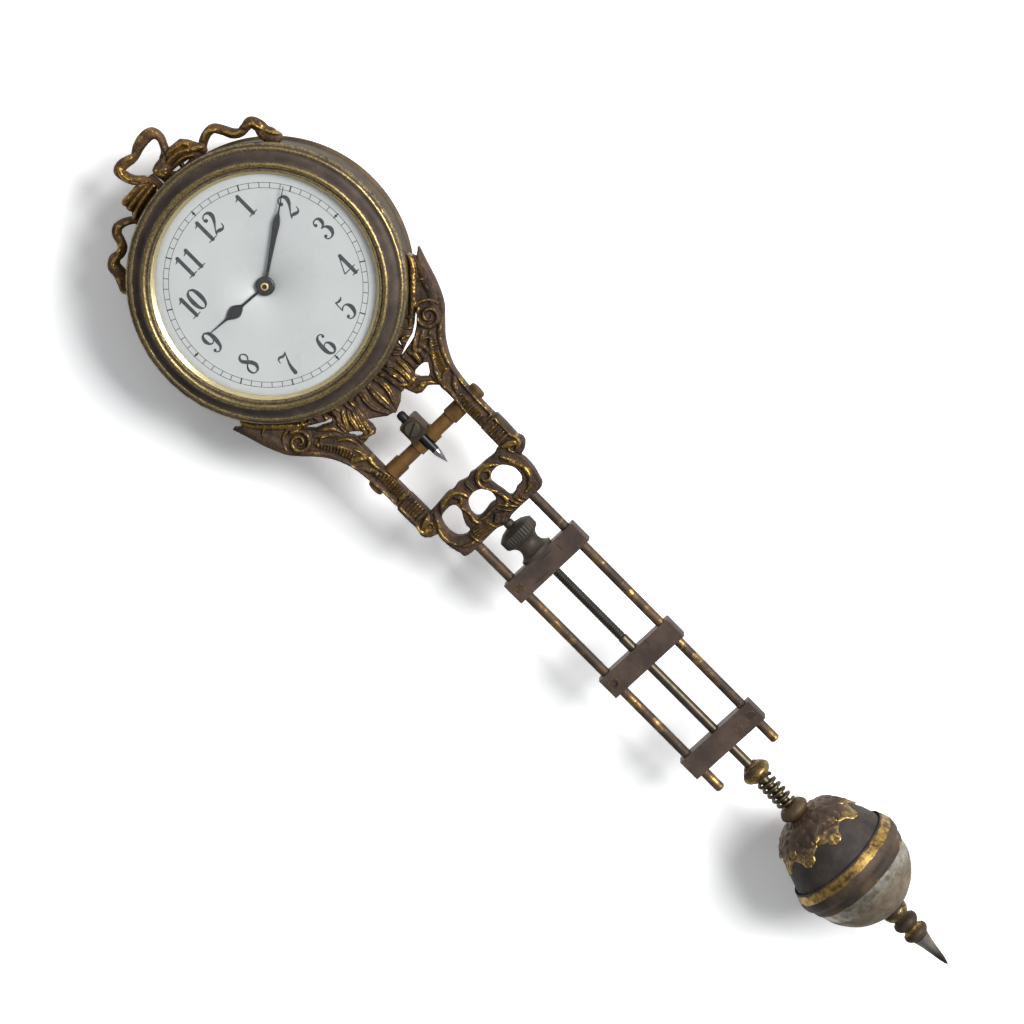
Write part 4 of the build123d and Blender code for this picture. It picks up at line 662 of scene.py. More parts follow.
def build_bezel():
    """Stepped bezel: inner gilt ridge, dark hollow, outer gilt ridge, rounded skirt."""
    rows = [
        (28.3, -6.4, 0.2), (28.3, -7.35, 0.5), (28.7, -7.75, 0.9), (28.95, -7.7, 0.2), (29.1, -7.72, 0.0),
        (29.25, -8.05, 0.5), (29.5, -8.3, 1.0), (29.85, -8.42, 1.1), (30.25, -8.35, 0.9), (30.6, -8.05, 0.35),
        (30.85, -7.5, 0.0), (31.05, -6.9, 0.0), (31.4, -6.2, 0.0), (31.85, -5.65, 0.0), (32.4, -5.3, 0.0),
        (32.95, -5.15, 0.1), (33.2, -5.2, 0.45), (33.45, -5.34, 1.0), (33.75, -5.3, 1.05), (34.0, -5.12, 0.4),
        (34.15, -5.0, 0.0), (34.35, -4.95, 0.3), (34.7, -4.65, 0.75), (34.93, -4.2, 0.5), (35.0, -3.6, 0.3),
        (35.0, -2.7, 0.3), (34.9, -2.3, 0.6), (34.6, -2.02, 0.2), (33.3, -2.0, 0.0), (33.25, -1.05, 0.0),
        (32.5, -1.0, 0.0), (32.5, -2.2, 0.0), (30.3, -4.4, 0.0), (29.55, -5.2, 0.0), (29.55, -6.4, 0.0),
        (28.3, -6.4, 0.2)]
    return finish_piece(case_piece("bezel_ring", rows, BEZEL, 240, 50.0), "frame", "gilt", "bezel")


def build_sight_ring():
    rows = [
        (27.45, -5.16, 0.4), (27.45, -5.36, 0.8), (27.8, -5.62, 1.0), (28.35, -6.0, 1.0), (28.9, -6.36, 0.8),
        (29.38, -6.36, 0.2), (29.38, -5.16, 0.0), (27.45, -5.16, 0.4)]
    return finish_piece(case_piece("sight_ring_turned", rows, SIGHT, 200), "frame", "gilt", "sight_ring")


GLASS_EDGE = 29.38
GLASS_BACK = -6.42
GLASS_T = 0.66
GLASS_RISE = 1.5


def build_glass():
    made, w, shader, place = surface("dial glass", {
        "Base Color": (0.97, 0.985, 0.98, 1), "Transmission Weight": 1.0, "Roughness": 0.02, "IOR": 1.3})
    clear = w.node("ShaderNodeBsdfTransparent", {"Color": (0.96, 0.97, 0.97, 1)})
    both = by_ray(w, ("Is Shadow Ray", "Is Diffuse Ray"), shader.outputs[0], clear.outputs[0])
    w.fill(made.node_tree.nodes["Material Output"], {"Surface": both})
    inwards = [GLASS_EDGE * (1 - k / 12) for k in range(13)]
    outwards = [GLASS_EDGE * k / 12 for k in range(13)]
    rows = [(r, GLASS_BACK - GLASS_T - GLASS_RISE * (1 - (r / GLASS_EDGE) ** 2), 0) for r in inwards]
    rows += [(r, GLASS_BACK - GLASS_RISE * (1 - (r / GLASS_EDGE) ** 2), 0) for r in outwards]
    obj = case_piece("glass_dome", rows + rows[:1], made, 128, 60.0)
    return finish_piece(obj, "frame", "glass", "glass")


def build_dial():
    rows = [
        (1.95, -4.2, 0), (1.95, -5.15, 0), (2.0, -5.2, 0), (14.0, -5.2, 0), (24.0, -5.2, 0), (26.0, -5.2, 0),
        (26.7, -5.15, 0), (27.4, -5.0, 0), (28.0, -4.78, 0), (28.5, -4.5, 0), (28.78, -4.2, 0),
        (1.95, -4.2, 0)]
    parts = [case_piece("dial_face", rows, ENAMEL, 200, 50.0)]
    foot = [(0, -4.2, 0), (0.7, -4.2, 0), (0.7, -0.6, 0), (0.6, -0.56, 0), (0, -0.56, 0)]
    for turn in (30, 150, 270):
        a = math.radians(turn)
        place = (22.0 * math.cos(a), 0, CASE_Z + 22.0 * math.sin(a))
        parts.append(turned("foot", foot, BRIGHT, 16, "Y", place))
    return finish_piece(joined("dial_enamel", *parts), "frame", "enamel", "dial")


THICK = 0.076
HAIR = 0.022
FIGURES = {
    "0": (((0.29, 0.985, HAIR), (0.13, 0.85, 0.06), (0.08, 0.5, 0.088), (0.13, 0.15, 0.06),
    (0.29, 0.015, HAIR), (0.45, 0.15, 0.06), (0.5, 0.5, 0.088), (0.45, 0.85, 0.06), (0.29, 0.985, HAIR)),),
    "1": (((0.3, 0.03, THICK), (0.3, 0.95, THICK)), ((0.1, 0.84, 0.018), (0.2, 0.875, 0.03),
    (0.29, 0.955, 0.045)), ((0.1, 0.02, 0.02), (0.3, 0.02, 0.024), (0.5, 0.02, 0.02))),
    "2": (((0.14, 0.74, 0.07), (0.15, 0.75, 0.072)), ((0.07, 0.76, HAIR), (0.13, 0.92, 0.028),
    (0.28, 0.982, 0.03), (0.43, 0.92, 0.062), (0.48, 0.75, 0.085), (0.41, 0.56, 0.065), (0.25, 0.34, 0.034),
    (0.11, 0.16, HAIR), (0.05, 0.04, HAIR)), ((0.05, 0.04, HAIR), (0.14, 0.115, 0.05), (0.27, 0.085, 0.072),
    (0.4, 0.05, 0.055), (0.5, 0.1, 0.03), (0.53, 0.24, 0.018))), "3": (((0.13, 0.79, 0.06),
    (0.14, 0.8, 0.06)), ((0.08, 0.82, HAIR), (0.15, 0.95, 0.028), (0.28, 0.982, 0.03), (0.41, 0.92, 0.055),
    (0.44, 0.77, 0.072), (0.38, 0.62, 0.05), (0.22, 0.545, HAIR)), ((0.22, 0.545, HAIR), (0.4, 0.49, 0.045),
    (0.49, 0.29, 0.088), (0.42, 0.09, 0.06), (0.26, 0.015, 0.03), (0.11, 0.06, 0.026), (0.06, 0.18, HAIR)),
    ((0.12, 0.2, 0.062), (0.13, 0.2, 0.062))), "4": (((0.41, 0.03, THICK), (0.41, 0.96, THICK)),
    ((0.38, 0.97, HAIR), (0.2, 0.63, HAIR), (0.03, 0.29, HAIR)), ((0.03, 0.28, HAIR), (0.3, 0.28, HAIR),
    (0.58, 0.28, HAIR)), ((0.24, 0.02, 0.02), (0.41, 0.02, 0.024), (0.57, 0.02, 0.02))),
    "5": (((0.13, 0.96, HAIR), (0.12, 0.75, HAIR), (0.11, 0.52, HAIR)), ((0.13, 0.95, 0.02),
    (0.22, 0.905, 0.042), (0.35, 0.905, 0.045), (0.47, 0.97, 0.016)), ((0.11, 0.52, HAIR), (0.2, 0.6, 0.026),
    (0.33, 0.62, 0.03), (0.46, 0.53, 0.06), (0.5, 0.32, 0.088), (0.42, 0.1, 0.06), (0.27, 0.015, 0.03),
    (0.12, 0.055, 0.026), (0.06, 0.17, HAIR)), ((0.12, 0.19, 0.058), (0.13, 0.19, 0.058))),
    "6": (((0.5, 0.84, HAIR), (0.43, 0.95, 0.026), (0.31, 0.982, 0.03), (0.16, 0.86, 0.062), (0.1, 0.5, 0.09),
    (0.13, 0.18, 0.07), (0.29, 0.015, 0.028)), ((0.29, 0.015, 0.028), (0.43, 0.1, 0.055), (0.48, 0.29, 0.08),
    (0.43, 0.48, 0.05), (0.31, 0.56, 0.025), (0.18, 0.48, HAIR), (0.13, 0.36, HAIR)), ((0.44, 0.83, 0.055),
    (0.45, 0.83, 0.055))), "7": (((0.05, 0.78, 0.018), (0.08, 0.91, 0.03), (0.19, 0.96, 0.052),
    (0.33, 0.905, 0.055), (0.46, 0.93, 0.035), (0.53, 0.98, 0.016)), ((0.52, 0.96, 0.016),
    (0.38, 0.68, 0.034), (0.27, 0.38, 0.062), (0.23, 0.07, 0.085))), "8": (((0.42, 0.9, 0.03),
    (0.29, 0.982, 0.028), (0.15, 0.9, 0.05), (0.13, 0.76, 0.066), (0.24, 0.61, 0.075), (0.39, 0.45, 0.082),
    (0.47, 0.26, 0.078), (0.41, 0.08, 0.05), (0.28, 0.015, 0.028)), ((0.42, 0.9, 0.03), (0.45, 0.78, 0.036),
    (0.38, 0.64, 0.026), (0.21, 0.5, 0.024), (0.09, 0.33, 0.045), (0.09, 0.17, 0.045), (0.16, 0.05, 0.03),
    (0.28, 0.015, 0.028))),}
FIGURES["9"] = tuple(tuple((0.57 - x, 1 - z, r) for x, z, r in stroke) for stroke in FIGURES["6"])
FIGURE_TALL = 5.9
FIGURE_WIDE = 0.50 * FIGURE_TALL
FIGURE_BOLD = 1.07
PRINT_Y = -5.2
PRINT_T = 0.03
PRINT_UNDER = 0.01
HOUR_STEP = 0.245
HOURS = {
    "12": (1, -81), "1": (43, -71), "2": (73, -40), "3": (83, 0), "4": (72, 42), "5": (42, 72), "6": (1, 84),
    "7": (-40, 72), "8": (-69, 43), "9": (-80, 2), "10": (-66, -39), "11": (-39, -70)}


def build_figures():
    """Hour figures with thick stems and hair lines, printed on the dial."""
    made = []
    for text, (right, down) in HOURS.items():
        left = right * HOUR_STEP - FIGURE_WIDE * len(text) / 2 - 0.03 * FIGURE_TALL
        foot = CASE_Z - down * HOUR_STEP - FIGURE_TALL / 2
        for k, digit in enumerate(text):
            x0 = left + k * FIGURE_WIDE
            sheet = Sheet.over(x0 - 0.4, x0 + 0.66 * FIGURE_TALL, foot - 0.3, foot + FIGURE_TALL + 0.3, 0.085)
            strokes = [[(x0 + x * FIGURE_TALL, foot + z * FIGURE_TALL, FIGURE_BOLD * r * FIGURE_TALL)
                        for x, z, r in stroke] for stroke in FIGURES[digit]]
            inside = sheet.plate(strokes=strokes, per=6)
            level = np.full(inside.shape, -PRINT_Y)
            made.append(carve("figure", sheet, inside, level + PRINT_T, level - PRINT_UNDER, INK))
    return finish_piece(joined("hour_figures", *made), "frame", "enamel")


def build_track():
    """Minute track: two hair circles, sixty ticks, heavier ones at the fives and crosses at the quarters."""
    y0, y1 = PRINT_Y + PRINT_UNDER, PRINT_Y - PRINT_T
    parts = []
    for r0, r1 in ((24.05 - 0.06, 24.05 + 0.06), (25.35 - 0.06, 25.35 + 0.06)):
        rows = [(r0, y0, 0), (r0, y1, 0), (r1, y1, 0), (r1, y0, 0), (r0, y0, 0)]
        parts.append(case_piece("circle", rows, INK, 180))
    marks = [(count, corners(-half, half, CASE_Z + low, CASE_Z + high))
             for count, half, low, high in ((60, 0.085, 24.0, 25.4), (12, 0.16, 23.95, 25.5))]
    mid = CASE_Z + 24.7
    marks += [(4, [(0, mid - reach), (waist, mid), (0, mid + reach), (-waist, mid)])
              for reach, waist in ((1.05, 0.16), (0.42, 0.42))]
    for count, outline in marks:
        base = flat("mark", outline, y1, y0, INK)
        parts.append(copied("marks", base, count, (0, 0, CASE_Z * MM), (0, 1, 0)))
    obj = joined("minute_track", *parts)
    level_normals(obj)
    return finish_piece(obj, "frame", "enamel")


HAND_T = 0.25
HUB = 3.4


def hand_plate(name, turn, y_front, boss, bore, blade):
    """Steel hand clockwise from twelve; the blade's points are way out and half width."""
    a = math.radians(90 - turn)
    c, s = math.cos(a), math.sin(a)
    strokes = [[(out * c, CASE_Z + out * s, half) for out, half in line]
               for line in ([(0, boss), (0.05, boss)], blade)]
    reach = blade[-1][0] + 1
    xs, zs = sorted((-HUB, HUB, reach * c)), sorted((-HUB, HUB, reach * s))
    sheet = Sheet.over(xs[0] - 0.5, xs[-1] + 0.5, CASE_Z + zs[0] - 0.5, CASE_Z + zs[-1] + 0.5, 0.09)
    inside = np.minimum(sheet.plate(strokes=strokes, per=6), np.hypot(sheet.X, sheet.Z - CASE_Z) - bore)
    front = np.full(inside.shape, -y_front) - rounded(inside, 0.3, HAND_T * 0.5)
    back = np.full(inside.shape, -(y_front + HAND_T))
    return carve(name, sheet, inside, front, back, BLACK)


def build_hands():
    minute = hand_plate("minute_blade", 56, -6.4, 2.2, 0.92, [
        (1, 0.4), (6, 0.44), (12, 0.66), (15.6, 0.86), (17.4, 0.62), (18.6, 0.26), (21.5, 0.16),
        (25.0, 0.07)])
    finish_piece(minute, "centre", "blued_steel", "minute_hand")
    hour = hand_plate("hour_blade", 274, -5.8, 2.4, 1.66, [
        (1, 0.36), (4, 0.33), (7.4, 0.36), (8.4, 0.95), (9.8, 1.62), (11.2, 1.28), (12.6, 0.45), (13.6, 0.28),
        (16, 0.17), (18.6, 0.07)])
    finish_piece(hour, "hour", "blued_steel", "hour_hand")
    collet = case_piece("collet_turned", [
        (0.64, -6.4, 0.4), (0.96, -6.42, 0.5), (1.02, -6.75, 0.9), (0.86, -7.02, 1), (0.64, -7.08, 0.6),
        (0.64, -6.4, 0.4)], BRIGHT, 48)
    return finish_piece(collet, "centre", "movement_brass", "hand_collet")


# ---------------------------------------------------------------- crest, arms, leaf spray and yoke

class Relief(Sheet):
    """Raised work on a casting: a height above the ground and how much of it is gilt."""

    def __init__(self, x, z, step):
        super().__init__(x, z, step)
        self.high = np.zeros(self.X.shape)
        self.gilt = np.zeros(self.X.shape)

    def window(self, points, margin):
        """Part of the sheet round the points, as slices and a smaller sheet; neither where it misses."""
        xs, zs = [p[0] for p in points], [p[1] for p in points]
        i0, i1 = np.searchsorted(self.x, (min(xs) - margin, max(xs) + margin))
        j0, j1 = np.searchsorted(self.z, (min(zs) - margin, max(zs) + margin))
        if i1 - i0 < 2 or j1 - j0 < 2:
            return None, None
        return (slice(i0, i1), slice(j0, j1)), Sheet(self.x[i0:i1], self.z[j0:j1], self.step)

    def lay(self, spot, rise, gilt):
        over = rise > self.high[spot]
        self.gilt[spot] = np.where(over & (rise > 0), gilt, self.gilt[spot])
        self.high[spot] = np.maximum(self.high[spot], rise)

    def ribbed(self, spot, rise, within, rib, gilt):
        """Lay ribs that are gilt on top and nearly bare between."""
        self.lay(spot, np.where(within, rise, 0), gilt)
        self.gilt[spot] = np.where(within, np.where(rib, gilt, gilt * 0.25), self.gilt[spot])

    def stroke(self, points, high, gilt=0.0, vein=0.0, per=6):
        """Rounded, tapering stroke, grooved along its middle by vein."""
        spot, small = self.window(points, max(p[2] for p in points) + 1)
        if spot:
            deep, half, _ = small.band(points, per)
            t = np.clip(1 - deep / np.maximum(half, 1e-6), 0, 1)
            size = half / max(p[2] for p in points)
            rise = high * np.sqrt(np.clip(1 - t**2, 0, 1)) * np.clip(size, 0.25, 1)
            if vein:
                rise = rise - vein * np.exp(-((half - deep) / 0.22) ** 2) * (rise > 0)
            self.lay(spot, np.where(deep > 0, rise, 0), gilt)

    def groove(self, points, deep, gilt=None):
        spot, small = self.window(points, max(p[2] for p in points) + 1)
        if spot:
            share, half, _ = small.band(points, 6)
            cut = np.clip(share / np.maximum(half, 1e-6), 0, 1)
            self.high[spot] -= deep * cut
            if gilt is not None:
                self.gilt[spot] = np.where(cut > 0.2, gilt, self.gilt[spot])

    def scroll(self, x, z, outer, inner, start, turns, half, high, gilt, side=1):
        """Spiral band, wound in from the outer radius."""
        points = []
        for k in range(int(turns * 12) + 1):
            t = k / (turns * 12)
            a = math.radians(start) + side * 2 * math.pi * turns * t
            r = outer + (inner - outer) * t
            points.append((x + r * math.cos(a), z + r * math.sin(a), half * (1 - 0.45 * t)))
        self.stroke(points, high, gilt, per=2)

    def dome(self, x, z, radius, high, gilt=0.0):
        spot, small = self.window([(x - radius, z - radius), (x + radius, z + radius)], 0.3)
        if spot:
            t = np.hypot((small.X - x) / radius, (small.Z - z) / radius)
            self.lay(spot, high * np.sqrt(np.clip(1 - t**2, 0, 1)), gilt)

    def basket(self, x, z, wide, tall, pitch, high, gilt, slope=0.0):
        """Woven panel of raised ribs."""
        spot, small = self.window([(x - wide, z - tall), (x + wide, z + tall)], 0.1)
        if spot:
            a, b = small.X - x, small.Z - z + slope * (small.X - x)
            within = (np.abs(a) < wide) & (np.abs(b) < tall)
            weave = np.cos(2 * math.pi * b / pitch) * (0.75 + 0.25 * np.cos(2 * math.pi * a / pitch / 1.6))
            self.ribbed(spot, high * (0.55 + 0.45 * weave), within, weave > 0, gilt)

    def rungs(self, points, pitch, high, gilt):
        """Ladder of short rungs along a tapering path."""
        spot, small = self.window(points, max(p[2] for p in points) + 0.6)
        if spot:
            share, _, along = small.band(points)
            line = smooth_line(points)
            total = np.hypot(*(line[1:, :2] - line[:-1, :2]).T).sum()
            wave = np.cos(2 * math.pi * along * total / pitch)
            self.ribbed(spot, high * (0.45 + 0.55 * np.clip(wave, -0.6, 1)), share > 0, wave > 0, gilt)


def cast(name, relief, inside, ground, back, seed, gain=3.2, rim=0.45, material=CAST):
    """Casting from its relief: rounded edges, soft lumps and gilding on what stands proud."""
    lumps = casting_noise(relief, 1.1, seed) * 0.05 + casting_noise(relief, 0.42, seed + 7) * 0.035
    high = relief.blur(relief.high, 0.18) + lumps
    front = ground + high - rounded(inside, rim, rim)
    proud = np.clip((high - relief.blur(high, 1.6)) * gain + 0.15, 0, 1)
    rub = np.clip(proud * 0.55 + relief.blur(relief.gilt, 0.2), 0, 1.2)
    rub = rub * (0.75 + 0.35 * casting_noise(relief, 1.6, seed + 3))
    under = np.full(inside.shape, back) + rounded(inside, 0.6, 0.6)
    return carve(name, relief, inside, front, under, material, np.clip(rub, 0, 1.2))


def mirrored(points, side):
    return [(side * p[0], *p[1:]) for p in points]


KNOT_X, KNOT_Z = 0.8, 101.0
BOW_LOOP = [
    (-4.49, 102.46, 1.06), (-6.26, 104.14, 1.17), (-7.15, 106.31, 1.22), (-7.15, 108.24, 1.32),
    (-5.25, 108.6, 1.42), (-3.22, 108.12, 1.27), (-1.7, 108.0, 1.04), (0.33, 108.84, 1.34),
    (2.86, 109.32, 1.57), (5.14, 108.96, 1.52), (6.03, 107.04, 1.06), (5.4, 105.11, 0.91),
    (4.38, 103.42, 0.96), (2.86, 102.7, 0.91)]
STREAMERS = (
    [(-12.85, 96.9, 0.86), (-14.63, 98.11, 1.01), (-16.15, 98.71, 1.12), (-17.67, 98.83, 1.17),
    (-18.94, 97.87, 1.14), (-19.57, 95.93, 1.04), (-20.46, 94.48, 1.12), (-21.98, 93.87, 1.17),
    (-23.75, 94.0, 1.34), (-25.28, 92.78, 1.57), (-25.53, 90.6, 1.62), (-26.04, 88.66, 1.83),
    (-27.05, 86.97, 1.62)], [(11.48, 97.38, 0.86), (13.0, 98.59, 1.06), (15.03, 99.32, 1.12),
    (17.06, 99.07, 1.19), (18.45, 97.14, 1.17), (19.59, 94.96, 1.24), (21.12, 93.75, 1.17),
    (22.89, 93.75, 1.22), (24.66, 93.75, 1.42), (25.55, 91.82, 1.52), (25.42, 89.88, 1.77),
    (25.93, 88.18, 1.93), (26.69, 86.72, 1.52)])
BOW_WINGS = (
    [
        (-12.35, 102.21), (-11.84, 102.7), (-7.28, 102.82), (-4.24, 102.46), (-1.7, 101.97), (-1.7, 97.87),
        (-6.26, 97.62), (-10.07, 96.66), (-13.61, 95.45), (-13.87, 96.9), (-12.35, 98.83)],
    [
        (-1.19, 102.46), (1.34, 103.18), (5.91, 103.54), (9.2, 103.18), (10.47, 101.73), (11.74, 99.32),
        (13.0, 98.11), (11.99, 96.17), (9.71, 96.42), (7.17, 97.14), (2.1, 97.87), (-1.19, 97.87)])
BOW_SLITS = (
    [(2.1, 98.95), (3.88, 98.83), (7.68, 97.99), (5.91, 97.87), (2.86, 98.23)], [(-5.5, 98.01),
    (-3.47, 98.71), (-3.47, 98.2)])
RIBBON_FOLDS = (
    [(-6.77, 104.87, 0.86), (-7.02, 106.8, 0.91), (-6.52, 108.48, 0.76)], [(-4.74, 108.72, 0.81),
    (-2.97, 108.24, 0.86), (-1.19, 108.24, 0.61)], [(-0.18, 108.96, 0.76), (1.85, 109.69, 1.01),
    (3.88, 109.93, 0.76)], [(-14.88, 97.87, 0.56), (-16.91, 98.59, 0.71), (-18.43, 97.87, 0.61)],
    [(-19.95, 95.21, 0.56), (-21.98, 94.0, 0.66), (-24.52, 93.27, 0.81), (-25.28, 91.57, 0.61)],
    [(-26.04, 89.88, 0.66), (-26.8, 88.42, 0.76), (-27.81, 87.21, 0.51)], [(13.51, 98.59, 0.61),
    (15.54, 99.32, 0.71), (17.57, 98.35, 0.61)], [(18.58, 96.66, 0.56), (19.85, 94.48, 0.66),
    (21.62, 93.51, 0.66)], [(23.14, 93.75, 0.71), (24.92, 93.27, 0.76), (25.68, 90.85, 0.66)],
    [(26.19, 89.39, 0.61), (27.2, 87.94, 0.66), (27.96, 86.97, 0.51)])
WING_FOLDS = (
    [(-12.09, 101.73, 0.76), (-9.3, 101.97, 0.91), (-6.26, 102.09, 0.86), (-3.98, 101.49, 0.66)],
    [(-12.09, 100.04, 0.66), (-8.8, 100.52, 0.86), (-5.25, 100.77, 0.76)], [(-12.85, 97.38, 0.61),
    (-9.81, 98.59, 0.86), (-6.26, 99.32, 0.91), (-3.47, 99.56, 0.76)], [(2.61, 102.46, 0.76),
    (5.91, 102.46, 0.91), (8.69, 101.97, 0.76), (9.96, 100.77, 0.66)], [(2.1, 101.01, 0.76),
    (5.4, 101.25, 0.81), (7.93, 100.52, 0.76), (10.21, 98.83, 0.81), (11.99, 97.87, 0.66)],
    [(2.86, 99.56, 0.46), (6.41, 99.32, 0.66), (8.95, 98.11, 0.61)])
WING_GROOVES = (
    [(-11.84, 101.01, 0.23), (-8.29, 101.25, 0.28), (-4.24, 101.25, 0.2)], [(-12.35, 99.07, 0.2),
    (-8.29, 99.8, 0.25), (-3.73, 100.28, 0.2)], [(2.86, 101.73, 0.23), (6.41, 101.73, 0.28),
    (9.45, 100.52, 0.23)], [(4.38, 103.9, 0.2), (3.62, 101.97, 0.25), (2.36, 101.01, 0.2)],
    [(-6.26, 103.9, 0.2), (-5.25, 101.97, 0.25), (-3.98, 101.01, 0.2)])
KNOT_FOLDS = ((-60, 2.0), (-25, 2.3), (15, 2.3), (55, 2.1), (100, 2.0), (200, 1.9), (235, 2.1))


def build_crest():
    """Bow on top of the case: loop, wings, knot and two waved streamers of folded ribbon."""
    relief = Relief.over(-29.8, 31.0, 85.0, 111.2, 0.13)
    ribbons = (BOW_LOOP, *STREAMERS)
    inside = np.minimum(relief.plate(BOW_WINGS, ribbons, BOW_SLITS), relief.outside_drum())
    for line in ribbons:
        relief.stroke(line, 1.35, 0.1, per=8)
    for k, line in enumerate(RIBBON_FOLDS):
        relief.stroke(line, 1.75, (0.75, 0.35, 0.15)[k % 3])
    for line in WING_FOLDS:
        relief.stroke(line, 1.5, 0.42)
    for line in WING_GROOVES:
        relief.groove(line, 0.55, 0.0)
    relief.dome(KNOT_X, KNOT_Z, 2.45, 2.1, 0.12)
    for turn, long in KNOT_FOLDS:
        a = math.radians(turn)
        line = [(KNOT_X + way * long * math.sin(a), KNOT_Z - way * long * math.cos(a), half)
                for way, half in ((0.0, 0.35), (0.6, 0.62), (1.0, 0.3))]
        relief.stroke(line, 2.3, 0.3 if turn < 60 else 0.1, 0.25)
    obj = cast("ribbon_bow", relief, inside, -0.95, -3.0, 11, 2.2, 0.35, CREST)
    return finish_piece(obj, "frame", "cast_bronze", "ribbon_crest")


ARM_EDGE = [
    (33.0, 43.4), (31.8, 39.8), (29.9, 33.9), (27.6, 29.2), (25.0, 26.3), (21.9, 23.0), (19.7, 19.6),
    (18.0, 15.5), (17.2, 9.5)]
ARM_FOOT = [
    (17.15, 0.6), (17.6, 0.2), (17.65, -2.5), (17.5, -7.2), (18.05, -8.4), (17.75, -9.6), (16.6, -10.7),
    (14.7, -11.3), (12.35, -6.1)]
ARM_INNER = [(12.3, -2.0), (12.35, 0.4), (12.6, 0.9), (12.55, 9.0), (12.45, 16.0)]
ARM_ROOT = [(12.4, 24.0), (12.4, 28.0), (14.0, 32.0), (28.0, 46.0)]
ARM_NOTCH = [(28.4, 47.0), (33.4, 47.0), (32.7, 43.3), (30.9, 42.0)]
ARM_SLITS = {
    1: [(10.47, 27.17), (13.51, 28.42), (16.3, 29.16), (18.58, 30.65), (20.86, 32.51), (21.88, 33.62),
    (21.12, 31.89), (18.83, 29.91), (16.55, 28.42), (13.51, 27.67)], -1: [(-20.71, 32.01), (-18.43, 30.9),
    (-16.4, 29.66), (-14.63, 28.66), (-12.85, 28.29), (-13.36, 27.55), (-14.63, 27.55), (-16.15, 28.42),
    (-18.18, 29.16), (-19.95, 31.02)]}
ARM_HOLES = {
    1: [(9.83, 21.58), (10.59, 22.18), (12.37, 22.33), (14.01, 22.18), (14.52, 21.46), (13.13, 19.46),
    (11.98, 18.84), (10.46, 20.21)], -1: [(-13.24, 22.95), (-12.6, 22.95), (-10.2, 21.08), (-9.82, 20.21),
    (-10.58, 19.84), (-11.72, 20.46), (-13.11, 21.95)]}
SPRAY_FOOT = [
    (-12.22, 18.09), (-10.45, 18.09), (-9.44, 18.34), (-7.92, 17.84), (-7.15, 18.34), (-6.82, 19.84),
    (-7.03, 22.08), (-4.62, 20.46), (-2.34, 18.84), (-1.07, 18.59), (-0.31, 17.97), (0.7, 18.47),
    (2.23, 19.09), (4.0, 20.63), (5.65, 20.78), (5.93, 19.84), (6.79, 17.84), (8.06, 17.1), (10.34, 17.35),
    (11.35, 16.6), (12.49, 15.48)]
SPRAY_HALF = 12.38
